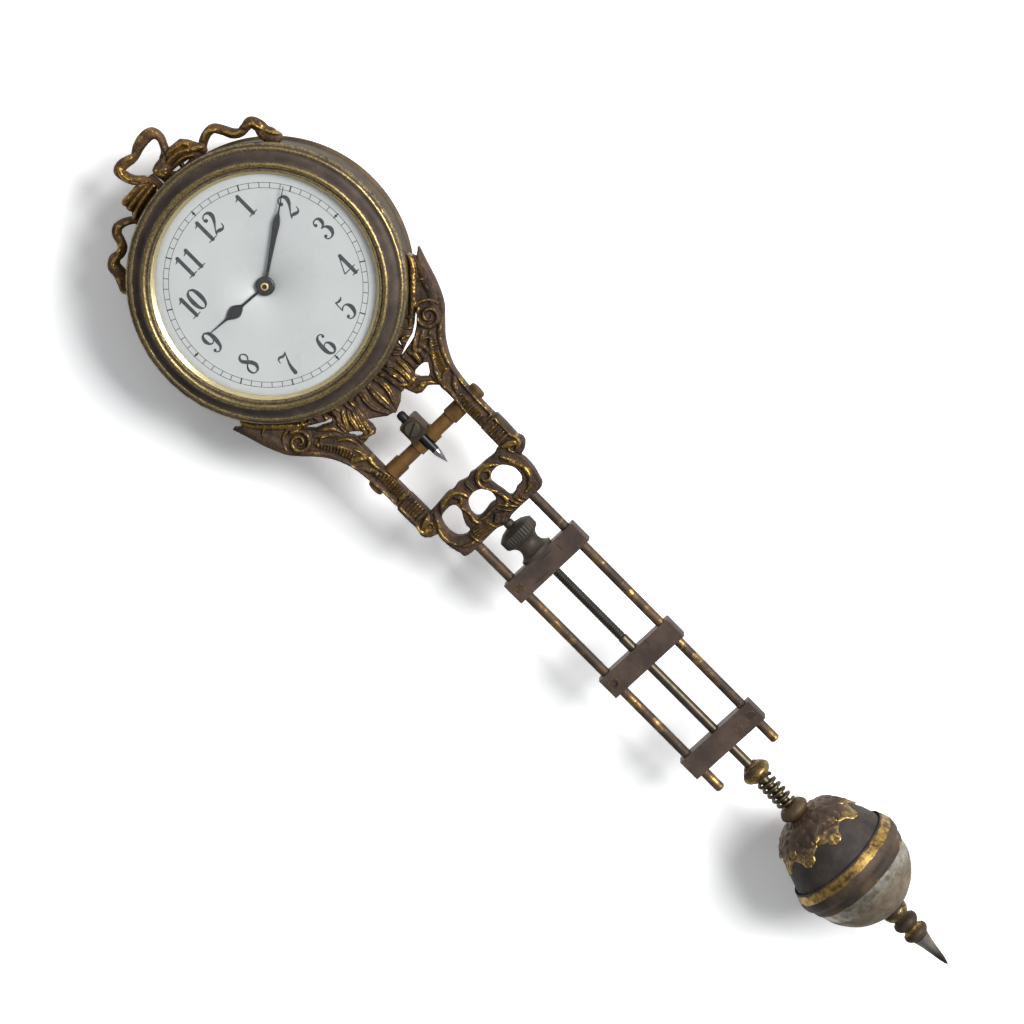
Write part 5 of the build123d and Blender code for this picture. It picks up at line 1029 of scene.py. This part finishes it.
LEAVES = (
    ((-11.46, 27.8, 0.35), (-12.22, 26.06, 0.61), (-12.48, 24.32, 0.56), (-12.99, 22.82, 0.25), 0.2),
    ((-9.69, 27.55, 0.41), (-10.7, 25.56, 0.71), (-11.72, 23.57, 0.61), (-12.22, 22.08, 0.25), 0.45),
    ((-8.42, 26.8, 0.41), (-9.44, 24.81, 0.71), (-9.94, 22.58, 0.66), (-10.45, 20.58, 0.3), 0.6),
    ((-7.15, 26.8, 0.41), (-7.92, 24.57, 0.76), (-8.68, 22.08, 0.71), (-9.44, 19.34, 0.35), 0.55),
    ((-5.89, 27.05, 0.46), (-6.65, 25.06, 0.71), (-7.41, 22.08, 0.71), (-8.17, 18.84, 0.41), 0.35),
    ((-7.66, 24.81, 0.2), (-6.65, 24.07, 0.33), (-6.39, 22.82, 0.2), (-6.65, 21.83, 0.13), 0.9),
    ((-4.87, 27.3, 0.46), (-5.38, 25.31, 0.66), (-5.89, 23.57, 0.51), (-6.39, 22.08, 0.25), 0.15),
    ((-10.96, 19.59, 0.41), (-9.69, 18.84, 0.56), (-8.42, 18.59, 0.56), (-7.41, 18.84, 0.35), 0.3),
    ((4.25, 27.05, 0.46), (4.76, 25.31, 0.66), (5.01, 23.32, 0.56), (5.01, 21.33, 0.3), 0.12),
    ((5.77, 26.8, 0.46), (6.53, 24.81, 0.71), (6.79, 22.58, 0.66), (6.53, 20.34, 0.35), 0.3),
    ((7.55, 26.8, 0.41), (8.31, 24.81, 0.71), (8.31, 22.58, 0.66), (7.8, 20.09, 0.35), 0.5),
    ((9.32, 26.8, 0.41), (9.83, 25.06, 0.66), (9.58, 23.07, 0.61), (8.82, 21.08, 0.35), 0.4),
    ((11.1, 26.8, 0.41), (11.6, 25.06, 0.66), (11.6, 23.57, 0.56), (10.84, 22.08, 0.3), 0.25),
    ((12.87, 26.55, 0.35), (13.63, 25.06, 0.61), (13.38, 23.57, 0.56), (12.87, 22.33, 0.25), 0.45),
    ((14.39, 26.31, 0.35), (15.15, 24.81, 0.56), (14.9, 23.32, 0.51), (14.39, 21.83, 0.25), 0.4),
    ((15.91, 26.8, 0.35), (16.67, 25.06, 0.56), (16.67, 23.07, 0.46), (16.93, 21.08, 0.23), 0.25),
    ((6.79, 20.58, 0.35), (8.06, 20.83, 0.61), (9.32, 21.08, 0.56), (10.34, 21.08, 0.3), 0.85),
    ((6.79, 19.09, 0.41), (8.31, 18.34, 0.71), (10.08, 18.34, 0.61), (11.6, 17.1, 0.35), 0.4),
    ((8.82, 19.59, 0.3), (10.08, 18.84, 0.46), (11.35, 17.84, 0.41), (12.37, 16.6, 0.25), 0.6),
    ((5.27, 23.57, 0.25), (5.77, 22.08, 0.41), (6.79, 21.08, 0.35), (7.55, 20.34, 0.2), 0.7),
    ((-2.59, 27.8, 0.51), (-3.35, 25.56, 0.81), (-3.1, 22.58, 0.81), (-1.32, 19.09, 0.41), 0.05),
    ((1.97, 27.8, 0.51), (2.73, 25.56, 0.81), (2.48, 22.58, 0.81), (0.7, 19.09, 0.41), 0.05),
    ((-0.31, 28.04, 0.61), (-0.31, 25.31, 1.12), (-0.31, 21.83, 1.06), (-0.31, 18.34, 0.41), 0.04))


def ornament(relief):
    """Raised work of both arms and the spray, one drawing for all three castings."""
    for side in (-1, 1):
        def lay(points, high, gilt=0.0, vein=0.0):
            relief.stroke(mirrored(points, side), high, gilt, vein)

        lay([(-31.49, 42.9, 0.76), (-30.22, 39.44, 1.17), (-28.7, 35.98, 1.42), (-27.43, 33.0, 1.27),
            (-25.66, 31.02, 0.81)], 0.55, 0.05)
        lay([(-28.7, 36.97, 0.25), (-27.69, 37.71, 0.35), (-26.67, 37.96, 0.25)], 0.9, 0.3)
        lay([(-30.35, 44.13, 0.56), (-28.96, 41.42, 0.81), (-26.93, 39.19, 0.96), (-24.9, 37.09, 1.01),
            (-22.62, 34.86, 0.91), (-20.34, 33.0, 0.66), (-18.05, 31.39, 0.41)], 1.0, 0.8)
        relief.scroll(side * 23.0, 29.6, 3.15, 0.6, 100 if side > 0 else 80, 1.6, 0.7, 1.15, 0.22, side)
        relief.scroll(side * 23.0, 29.6, 4.3, 3.9, 130 if side > 0 else 50, 0.35, 0.5, 0.85, 0.35, -side)
        lay([(-25.15, 27.05, 0.56), (-22.62, 25.31, 0.76), (-20.59, 23.07, 0.76), (-19.07, 20.34, 0.71),
            (-18.05, 17.35, 0.66), (-17.55, 14.1, 0.61), (-17.04, 10.61, 0.56), (-16.79, 6.1, 0.51),
            (-16.79, 1.59, 0.51)], 0.75, 0.04)
        lay([(-20.34, 26.55, 0.46), (-18.56, 24.57, 0.61), (-16.53, 21.83, 0.56), (-15.01, 18.84, 0.46),
            (-14.51, 16.6, 0.3)], 0.75, 0.15)
        relief.rungs(mirrored([(-20.21, 25.56, 0.41), (-18.94, 23.57, 0.76), (-17.55, 21.33, 0.86),
            (-16.53, 19.09, 0.91), (-15.9, 16.85, 0.91)], side), 0.82, 0.85, 0.85)
        lay([(-17.8, 17.1, 0.41), (-16.03, 16.6, 0.66), (-14.25, 15.6, 0.76), (-12.48, 14.1, 0.51)], 1.05,
            0.35, 0.2)
        lay([(-17.04, 14.6, 0.56), (-15.52, 12.86, 0.86), (-14.25, 10.61, 0.66), (-13.49, 8.86, 0.3)], 0.7,
            0.05)
        lay([(-13.49, 14.6, 0.41), (-13.49, 12.11, 0.51), (-12.99, 9.61, 0.51), (-12.48, 7.11, 0.3)], 0.95,
            0.42, 0.15)
        relief.rungs(mirrored([(-14.76, 10.11, 0.51), (-14.25, 8.11, 1.06), (-14.13, 5.1, 1.17),
            (-14.13, 2.1, 1.17)], side), 0.82, 0.8, 0.8)
        lay([(-12.6, 10.11, 0.3), (-12.48, 6.1, 0.35), (-12.48, 1.84, 0.3)], 0.7, 0.1)
        lay([(-16.53, 1.22, 0.3), (-14.25, 1.47, 0.38), (-11.97, 1.22, 0.3)], 1.0, 0.55)
        for x in (-16.6, -12.1):
            lay([(x, 0.0, 0.42), (x, -3.2, 0.48), (x, -6.4, 0.42)], 0.85, 0.05)
        lay([(-16.28, 0.34, 0.35), (-14.25, 0.44, 0.41), (-12.22, 0.34, 0.35)], 0.85, 0.03)
        lay([(-16.28, -4.93, 0.41), (-14.25, -5.19, 0.46), (-12.22, -4.93, 0.41)], 0.9, 0.05)
        relief.basket(side * 14.35, -3.1, 1.75, 2.35, 0.86, 0.8, 0.7)
        lay([(-11.97, -6.44, 0.66), (-13.49, -6.69, 0.91), (-15.01, -7.2, 1.01), (-16.28, -8.08, 0.86),
            (-17.04, -8.71, 0.41)], 1.15, 0.75, 0.2)
        lay([(-16.79, -6.19, 0.46), (-17.17, -7.45, 0.51), (-16.53, -8.83, 0.51), (-15.01, -9.21, 0.41)], 1.0,
            0.5)
        lay([(-14.25, -7.45, 0.35), (-13.49, -8.46, 0.46), (-14.0, -9.46, 0.41)], 0.9, 0.2)
        lay([(-16.53, 23.57, 0.25), (-15.01, 22.82, 0.46), (-13.49, 21.58, 0.51), (-12.73, 19.34, 0.3)], 0.95,
            0.55, 0.15)
        for k in range(1, 4):
            lay([(-15.4 + 0.55 * k, 21.4 - 1.4 * k, 0.2), (-14.4 + 0.35 * k, 19.4 - 1.5 * k, 0.5),
                (-13.2 + 0.1 * k, 17.2 - 1.6 * k, 0.25)], 0.95, 0.55 - 0.1 * k, 0.15)
        lay([(-19.32, 28.04, 0.41), (-17.8, 26.8, 0.66), (-16.03, 25.56, 0.66), (-14.25, 23.57, 0.35)], 0.75,
            0.12, 0.2)
        lay([(-17.55, 28.54, 0.35), (-15.77, 27.3, 0.61), (-14.25, 25.81, 0.56), (-13.49, 23.57, 0.35)], 0.85,
            0.1, 0.2)
        lay([(-19.07, 26.06, 0.25), (-18.05, 26.55, 0.35), (-17.29, 26.06, 0.25)], 1.1, 0.6)
    for *line, gilt in LEAVES:
        relief.stroke(line, 1.05, gilt, 0.32)
    for v in range(-14, 15, 2):
        x = 0.2535 * v
        relief.groove([(x * 1.1, 26.4, 0.14), (x, 23.4, 0.2), (x * 0.6, 20.2 + abs(v) * 0.07, 0.12)], 0.16)
    for k in range(46):
        a = math.radians(-150 + k * 2.6 + 6 * math.sin(k * 1.7))
        r0, r1 = 35.0 + 0.6 * math.sin(k * 2.3), 37.2 + 0.9 * math.sin(k * 1.3)
        x0, z0 = r0 * math.cos(a), CASE_Z + r0 * math.sin(a)
        x1, z1 = r1 * math.cos(a + 0.02), CASE_Z + r1 * math.sin(a + 0.02)
        if abs(x0) < 19:
            relief.stroke([(x0, z0, 0.2), ((x0 + x1) / 2, (z0 + z1) / 2, 0.42), (x1, z1, 0.2)],
                0.8 + 0.25 * math.sin(k), 0.1 + 0.2 * (k % 3 == 0))


def build_arms():
    """Two arms and the spray between them: three castings that share one drawing."""
    edge = [tuple(p) for p in smooth_line(ARM_EDGE, 6)] + ARM_FOOT + ARM_INNER + ARM_ROOT
    for side, name, node in ((-1, "arm_left", "left_arm"), (1, "arm_right", "right_arm")):
        relief = Relief.over(*sorted((side * 12.1, side * 34.6)), -11.8, 46.5, 0.13)
        holes = ARM_SLITS[side], ARM_HOLES[side], mirrored(ARM_NOTCH, side)
        inside = relief.plate([mirrored(edge, side)], (), holes)
        inside = np.minimum.reduce([inside, relief.outside_drum(), side * relief.X - SPRAY_HALF])
        ornament(relief)
        finish_piece(cast(name, relief, inside, 1.35, -3.25, 31 + side), "frame", "cast_bronze", node)
    relief = Relief.over(-12.6, 12.6, 13.4, 31.6, 0.13)
    outline = SPRAY_FOOT + [(SPRAY_HALF, 16.0), (SPRAY_HALF, 31.5), (-SPRAY_HALF, 31.5), (-SPRAY_HALF, 16.0)]
    inside = relief.plate([outline], (), (*ARM_SLITS.values(), *ARM_HOLES.values()))
    ornament(relief)
    obj = cast("spray_of_leaves", relief, np.minimum(inside, relief.outside_drum()), 1.2, -1.7, 57, 3.6)
    return finish_piece(obj, "frame", "cast_bronze", "leaf_spray")


def rounded_outline(points):
    return smooth_line(points + points[:1], 4)


YOKE_OUTLINE = [
    (-12.35, -5.9), (-10.53, -5.84), (-7.97, -5.59), (-5.42, -5.34), (-3.63, -5.79), (-1.84, -5.44),
    (-0.31, -5.89), (0.97, -6.19), (2.25, -5.79), (3.78, -6.09), (7.36, -6.19), (9.91, -6.44), (12.35, -6.2),
    (14.7, -11.3), (14.85, -15.3), (14.1, -18.4), (12.8, -20.6), (7.36, -20.57), (2.76, -20.57),
    (0.71, -21.07), (-1.33, -21.07), (-3.38, -20.47), (-12.8, -20.5), (-14.1, -18.4), (-14.85, -15.3),
    (-14.7, -11.3)]
YOKE_HOLES = (
    [(-12.06, -11.23), (-11.3, -9.21), (-9.51, -8.36), (-7.21, -8.36), (-6.08, -9.21), (-6.19, -11.23),
    (-7.21, -12.99), (-7.82, -14.5), (-7.97, -16.02), (-9.51, -16.37), (-11.3, -15.26), (-12.06, -13.24)],
    [(-4.65, -12.99), (-3.89, -11.23), (-2.35, -10.12), (-0.31, -9.87), (1.48, -10.62), (2.65, -11.98),
    (2.7, -13.75), (2.09, -15.16), (0.2, -14.91), (-1.84, -15.31), (-3.63, -15.31), (-4.55, -14.5)],
    [(4.54, -10.97), (5.57, -9.72), (7.36, -9.21), (9.14, -9.46), (10.57, -10.97), (11.34, -12.74),
    (11.19, -15.01), (9.91, -16.27), (8.12, -16.42), (7.1, -16.93), (5.57, -16.78), (5.16, -14.5),
    (4.8, -12.74)])
YOKE_STROKES = (
    ([(-10.02, -8.2, 0.41), (-9.0, -7.1, 0.66), (-7.21, -6.44, 0.77), (-5.16, -6.34, 0.77),
    (-3.38, -7.1, 0.72), (-2.51, -8.61, 0.66), (-2.35, -9.97, 0.36)], 1.15, 0.75), ([(-4.65, -7.45, 0.56),
    (-3.89, -8.71, 0.66), (-4.91, -9.72, 0.56), (-5.83, -8.96, 0.36)], 0.9, 0.12), ([(9.14, -9.21, 0.36),
    (7.87, -7.95, 0.61), (6.33, -7.05, 0.72), (4.54, -6.95, 0.72), (2.91, -7.8, 0.66), (2.09, -9.21, 0.61),
    (2.4, -10.97, 0.61), (3.27, -12.49, 0.56), (4.03, -13.75, 0.36)], 1.15, 0.62), ([(4.8, -7.2, 0.51),
    (6.23, -8.46, 0.61), (5.31, -10.12, 0.61), (3.68, -9.72, 0.56), (3.52, -8.61, 0.36)], 0.95, 0.12),
    ([(11.44, -10.47, 0.36), (12.72, -12.49, 0.61), (13.23, -14.5, 0.72), (12.62, -16.52, 0.72),
    (11.19, -18.19, 0.66), (9.4, -18.8, 0.41)], 1.0, 0.72), ([(-13.6, -10.72, 0.41), (-13.95, -12.99, 0.51),
    (-13.6, -15.26, 0.56), (-12.57, -17.03, 0.41)], 0.9, 0.45), ([(-5.42, -10.72, 0.36),
    (-5.01, -12.99, 0.56), (-5.42, -15.26, 0.61), (-4.65, -16.78, 0.36)], 0.8, 0.15), ([(3.52, -13.75, 0.41),
    (4.29, -15.01, 0.66), (4.29, -16.78, 0.61), (3.27, -18.04, 0.36)], 0.85, 0.4), ([(-4.4, -16.02, 0.41),
    (-2.35, -16.42, 0.56), (-0.31, -16.27, 0.56), (1.99, -16.42, 0.41)], 0.6, 0.05), ([(-11.55, -7.2, 0.51),
    (-12.32, -8.71, 0.61), (-13.09, -10.22, 0.51)], 0.6, 0.05), ([(10.93, -8.2, 0.46), (11.7, -9.72, 0.61),
    (12.46, -11.23, 0.46)], 0.6, 0.3), ([(-12.06, -18.04, 0.46), (-10.27, -18.8, 0.56),
    (-8.74, -19.05, 0.46)], 0.7, 0.1), ([(-0.31, -6.95, 0.41), (-0.21, -8.46, 0.46), (-0.31, -9.46, 0.26)],
    0.7, 0.05))
YOKE_RAYS = ((5, 1, 13, 11), (9, -1, 17, 9), (2, 4, 8, 13), (14, 2, 20, 12), (20, 1, 24, 13), (25, 3, 28, 13),
             (30, 6, 33, 14), (-12, 2, -9, 13), (-33, 2, -31, 13))


def build_yoke():
    """Yoke plate: three openings between C scrolls, hatching, a lozenge and rays."""
    relief = Relief.over(-15.4, 15.4, -21.4, -4.9, 0.11)
    inside = relief.plate([rounded_outline(YOKE_OUTLINE)], (), [rounded_outline(hole) for hole in YOKE_HOLES])
    for line, high, gilt in YOKE_STROKES:
        relief.stroke(line, high, gilt)
    relief.basket(-5.55, -18.15, 2.45, 1.75, 0.72, 0.75, 0.42, 0.15)
    for k, (v0, u0, v1, u1) in enumerate(YOKE_RAYS):
        x0, x1 = 0.2555 * v0 - 0.31, 0.2555 * v1 - 0.31
        z0, z1 = -16.7 - u0 * 0.263, -16.7 - u1 * 0.263
        line = [(x0, z0, 0.22), ((x0 + x1) / 2, (z0 + z1) / 2, 0.36), (x1, z1, 0.24)]
        relief.stroke(line, 0.9, 0.3 + 0.25 * (k % 2))
    spot = np.abs(relief.X + 0.3) / 2.5 + np.abs(relief.Z + 19.0) / 2.1
    relief.high = np.where(spot < 1, np.minimum(0.95, 3.0 * (1 - spot)), relief.high)
    relief.gilt = np.where(spot < 1, np.where(spot > 0.86, 0.35, 0.0), relief.gilt)
    obj = cast("yoke_casting", relief, inside, 1.35, -1.85, 71, 3.4, 0.4)
    return finish_piece(obj, "frame", "cast_bronze", "yoke_plate")


# ---------------------------------------------------------------- pin, bob, collars, finial and bar marks

def build_pin():
    rows = [
        (0, 0, 0), (0.12, 0.3, 0), (1.08, 3.45, 0), (1.1, 3.7, 0), (1.1, 14.8, 0), (1.24, 14.86, 0),
        (1.25, 16.5, 0), (1.12, 17.0, 0), (0.8, 17.35, 0), (0, 17.5, 0)]
    return finish_piece(turned("point_turned", rows, POINT, 48, sharp=60.0), "frame", "steel", "pivot_pin")


def dents(a, h):
    """Slight unevenness of the spun shells."""
    broad = 0.05 * math.sin(3 * a + h * 0.4) + 0.035 * math.sin(7 * a - h * 0.9)
    return broad + 0.02 * math.sin(13 * a + h * 2.1)


ROD_HOLE = 1.34
DOME_LINE = [(2.4, -128.4), (7.0, -129.7), (10.0, -132.7), (12.5, -137.6), (14.0, -141.6), (14.7, -144.6)]
BOWL_LINE = [(14.7, -146.75, 0.0), (14.7, -149.2, 0.3), (14.5, -150.8, 0.95), (14.25, -152.2, 0.7),
             (13.5, -154.6, 0.15), (10.7, -158.8, 0.0), (6.6, -161.8, 0.0), (3.2, -163.0, 0.0)]


def build_bob_shells():
    line = [(r, h, 0.1 if h > -129 else 0.0) for r, h in DOME_LINE + [(14.7, -146.7)]]
    rows = [(ROD_HOLE, -128.5, 0.0), *smooth_line(line, 5), (13.7, -146.7, 0.0), (13.0, -141.0, 0.0),
            (9.2, -133.8, 0.0), (ROD_HOLE, -130.2, 0.0), (ROD_HOLE, -128.5, 0.0)]
    dome = turned("bob_dome", rows, DOME, 144, sharp=40.0,
                  wobble=lambda a, h: dents(a, h) if h > -144 else 0.0)
    finish_piece(dome, "bob", "bob_dark", "bob_upper")
    rows = [*smooth_line(BOWL_LINE, 4), (ROD_HOLE, -163.0, 0.0), (ROD_HOLE, -161.6, 0.0), (5.8, -160.6, 0.0),
            (9.6, -157.8, 0.0), (12.4, -154.0, 0.0), (13.7, -149.0, 0.0), (13.7, -146.75, 0.0), BOWL_LINE[0]]
    bowl = turned("bob_bowl_spun", rows, BOWL, 144, sharp=40.0,
                  wobble=lambda a, h: dents(a, h) * 1.2 if h < -150 else 0.0)
    finish_piece(bowl, "bob", "bob_bowl", "bob_lower")
    rows = [
        (14.73, -142.3, 0.2), (14.98, -142.45, 0.3), (15.08, -142.9, 0.7), (15.3, -143.4, 1.05),
        (15.62, -144.2, 1.1), (15.86, -144.9, 0.85), (16.0, -145.3, 0.25), (16.07, -145.8, 0.0),
        (16.05, -146.6, 0.0), (15.95, -147.3, 0.0), (15.8, -147.8, 0.0), (15.45, -148.1, 0.35),
        (15.3, -148.5, 0.3), (15.2, -149.2, 0.1), (15.05, -150.0, 0.35), (14.76, -150.6, 0.5),
        (14.73, -149.2, 0.0), (14.73, -142.3, 0.2)]
    band = turned("bob_girdle", rows, GIRDLE, 160, sharp=50.0,
                  wobble=lambda a, h: 0.03 * math.sin(5 * a + h) if -150 < h < -141 else 0.0)
    return finish_piece(band, "bob", "gilt", "bob_band")


LEAF_SINK = 0.15


def leaf_on_dome(name, long, broad, high, lobes, gilt_tip, gilt_edge):
    """One acanthus leaf laid on the dome: lobed edge, middle crease and a curled tip."""
    line = smooth_line(DOME_LINE, 12)
    run = np.concatenate([[0], np.cumsum(np.hypot(*(line[1:] - line[:-1]).T))])
    rows, cols = 34, 17
    verts, rub, faces = [], [], []
    for layer in (0, 1):
        for i in range(rows):
            s = i / (rows - 1)
            d = 1.0 + s * long
            r, z = np.interp(d, run, line[:, 0]), np.interp(d, run, line[:, 1])
            r2, z2 = np.interp(d + 0.2, run, line[:, 0]), np.interp(d + 0.2, run, line[:, 1])
            tr, tz = (r2 - r) / math.hypot(r2 - r, z2 - z), (z2 - z) / math.hypot(r2 - r, z2 - z)
            nr, nz = -tz, tr
            shape = (0.35 + 0.65 * math.sin(math.pi * min(1.0, s * 0.9)) ** 0.8) * math.sqrt(max(0.0,
                1 - s ** 5))
            edge = broad * shape * (1 + 0.2 * math.cos(2 * math.pi * lobes * s + 0.6))
            for j in range(cols):
                t = 2 * j / (cols - 1) - 1
                a = t * edge / max(r, 2.6)
                crown = (1 - abs(t) ** 2.2) ** 0.7 if abs(t) < 1 else 0.0
                crease = 0.34 * math.exp(-((t / 0.13) ** 2))
                side_vein = 0.16 * math.cos(2 * math.pi * (lobes * s * 1.6 - abs(t) * 1.5)) * (1 - abs(t))
                lift = high * (0.25 + 0.75 * crown) * (0.6 + 0.7 * s) - crease * high + side_vein
                lift = max(0.04, lift) if layer == 0 else -LEAF_SINK
                if layer == 0 and abs(t) == 1:
                    lift = 0.02
                rr, zz = r + nr * lift, z + nz * lift
                verts.append((rr * math.cos(a), rr * math.sin(a), zz))
                worn = gilt_tip * max(0.0,
                    (s - 0.45) / 0.55) ** 1.3 + gilt_edge * abs(t) ** 2 * s + 0.25 * max(0.0,
                    side_vein) * 6 * s
                rub.append(min(1.15, worn))
    size = rows * cols
    for i in range(rows - 1):
        for j in range(cols - 1):
            a, b, c, d = i * cols + j, i * cols + j + 1, (i + 1) * cols + j + 1, (i + 1) * cols + j
            faces += [(a, b, c, d), (a + size, d + size, c + size, b + size)]
    rim = [j for j in range(cols)] + [i * cols + cols - 1 for i in range(1,
        rows)] + [(rows - 1) * cols + j for j in range(cols - 2, -1, -1)]
    rim += [i * cols for i in range(rows - 2, 0, -1)]
    for a, b in zip(rim, rim[1:] + rim[:1]):
        faces.append((a, a + size, b + size, b))
    obj = from_arrays(name, verts, faces, FOLIAGE, rub, 60.0)
    level_normals(obj)
    return obj


def build_leaves():
    """Rosette of eight leaves over a gilt under-layer."""
    upper = leaf_on_dome("leaf", 9.6, 4.1, 0.85, 3, 0.5, 0.35)
    under = leaf_on_dome("under_leaf", 13.2, 4.6, 0.42, 4, 0.95, 0.6)
    under.data.transform(Matrix.Rotation(math.radians(22.5), 4, "Z"))
    cap = turned("leaf_cap", [
        (1.34, -128.5, 0.2), (2.3, -128.0, 0.5), (3.4, -128.1, 0.2), (4.4, -128.55, 0.1), (4.6, -129.1, 0.0),
        (1.34, -129.0, 0.0), (1.34, -128.5, 0.2)], FOLIAGE, 64)
    obj = joined("acanthus_rosette", copied("leaf_ring", upper, 8), copied("leaf_skirt", under, 8), cap)
    return finish_piece(obj, "bob", "bob_dark", "bob_leaves")


UPPER_COLLAR = [
    (1.33, -109.45, 0.2), (1.8, -109.4, 0.5), (2.05, -109.7, 0.1), (2.15, -109.95, 0.9), (2.5, -110.1, 0.9),
    (3.0, -110.6, 0.25), (3.6, -111.3, 0.5), (3.95, -111.9, 0.9), (4.0, -112.3, 0.9), (3.75, -112.95, 0.75),
    (3.3, -113.5, 0.8), (2.75, -113.85, 0.9), (2.5, -114.05, 0.1), (2.35, -114.28, 0.0), (1.33, -114.3, 0.0),
    (1.33, -109.45, 0.2)]
LOWER_COLLAR = [
    (1.35, -124.12, 0.0), (2.3, -124.12, 0.1), (2.7, -124.35, 0.5), (3.1, -124.55, 0.2), (3.6, -125.1, 0.15),
    (4.0, -125.8, 0.3), (4.1, -126.3, 0.25), (3.85, -126.9, 0.1), (3.2, -127.5, 0.2), (2.7, -127.85, 0.6),
    (2.55, -128.0, 0.1), (2.3, -128.38, 0.0), (1.35, -128.38, 0.0), (1.35, -124.12, 0.0)]
FINIAL_RINGS = [
    (1.26, -163.05, 0.2), (3.3, -163.03, 0.4), (3.5, -163.3, 0.3), (3.5, -164.3, 0.65), (3.3, -165.0, 0.7),
    (2.75, -165.8, 0.5), (2.3, -166.35, 0.1), (2.25, -166.55, 0.0), (2.6, -166.85, 0.0), (3.25, -167.3, 0.0),
    (3.5, -168.0, 0.0), (3.45, -168.5, 0.0), (3.1, -169.2, 0.0), (2.5, -169.75, 0.25), (2.2, -170.1, 0.9),
    (2.35, -170.5, 1.0), (2.8, -170.85, 0.6), (3.3, -171.25, 0.05), (3.5, -171.9, 0.0), (3.4, -172.4, 0.0),
    (3.05, -172.95, 0.0), (2.5, -173.45, 0.0), (1.8, -173.7, 0.0), (1.26, -173.7, 0.0), (1.26, -163.05, 0.2)]
FINIAL_SPIKE = [
    (0, -173.5, 0), (1.9, -173.5, 0), (2.34, -173.8, 0), (2.05, -174.8, 0), (1.63, -176.6, 0),
    (1.2, -179.3, 0), (0.8, -181.9, 0), (0.4, -183.5, 0), (0.12, -184.1, 0), (0, -184.2, 0)]


def build_collars_and_finial():
    finish_piece(turned("collar_upper", UPPER_COLLAR, TURNED, 72, sharp=42.0), "rod", "gilt", "upper_collar")
    finish_piece(turned("collar_lower", LOWER_COLLAR, TURNED, 72, sharp=42.0), "bob", "gilt", "lower_collar")
    rings = turned("finial_rings", FINIAL_RINGS, TURNED, 72, sharp=42.0)
    finish_piece(turned("finial_spike", FINIAL_SPIKE, SPIKE, 56), "finial", "steel")
    return finish_piece(rings, "finial", "gilt", "finial")


RING_SECTION = [(-0.16, -2.05, 0.0), (-0.14, -2.14, 0.5), (0.0, -2.18, 0.9), (0.14, -2.14, 0.5),
                (0.16, -2.05, 0.0), (-0.16, -2.05, 0.0)]


def build_bar_marks():
    """Scribed rings round the cross pins and light scratches, on the front faces of the bars."""
    fixed, moving = [], []
    for x, z, r, bar in ((-9.6, -35.5, 1.35, fixed), (-9.6, -69.9, 1.45, moving), (9.6, -99.7, 1.3, fixed),
                         (5.2, -100.2, 0.9, fixed)):
        rows = [(r + out, y, worn) for out, y, worn in RING_SECTION]
        bar.append(turned("ring", rows, TURNED, 40, "Y", (x, 0, z)))
    for x, z, wide, tall, bar in ((1.6, -33.8, 3.4, 0.16, fixed), (5.4, -34.6, 0.16, 2.1, fixed),
                                  (-3.4, -37.3, 4.4, 0.14, fixed), (4.0, -67.7, 0.14, 2.0, moving)):
        outline = corners(x - wide / 2, x + wide / 2, z - tall / 2, z + tall / 2)
        bar.append(flat("scratch", outline, -2.125, -2.05, BLACK))
    finish_piece(joined("bar_marks", *fixed), "frame", "bar_bronze")
    return finish_piece(joined("middle_bar_marks", *moving), "rod", "bar_bronze")


for build in (build_bezel, build_sight_ring, build_glass, build_dial, build_figures, build_track, build_hands,
              build_crest, build_arms, build_yoke, build_pin, build_bob_shells, build_leaves,
              build_collars_and_finial, build_bar_marks):
    build()


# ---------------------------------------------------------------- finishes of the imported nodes

NODE_FINISH = {
    DRUM: ("case_drum", "back_cover"), BAMBOO: ("crossbar", "crossbar_screws", "set_knob", "winding_key"),
    CAST: ("left_arm", "right_arm", "leaf_spray", "yoke_plate"), CREST: ("ribbon_crest",),
    SLAB: ("top_bar", "middle_bar", "bottom_bar"), NUTS: ("rating_nut", "block_screws"),
    ROD: ("guide_rods", "bar_pins"), SCREWED: ("centre_rod",),
    TURNED: ("upper_collar", "lower_collar", "finial", "pivot_block"), COIL: ("bob_spring", "mainspring"),
    DOME: ("bob_upper", "bob_leaves"), GIRDLE: ("bob_band",), BOWL: ("bob_lower",), LEAD: ("bob_core",),
    BRIGHT: ("front_plate", "back_plate", "pillars", "anchor_cock", "centre_wheel", "hour_wheel",
    "minute_wheel", "barrel", "barrel_cap", "third_wheel", "escape_wheel", "inner_pendulum"),
    STEEL: ("pallet_anchor", "anchor_arbor", "winding_arbor", "ratchet_wheel", "click", "click_spring"),
    BLACK: ("case_screws", "plate_screws", "centre_arbor", "cannon_pinion"),}
for material, nodes in NODE_FINISH.items():
    for node in nodes:
        obj = bpy.data.objects.get(node)
        if obj:
            obj.data.materials.clear()
            obj.data.materials.append(material)
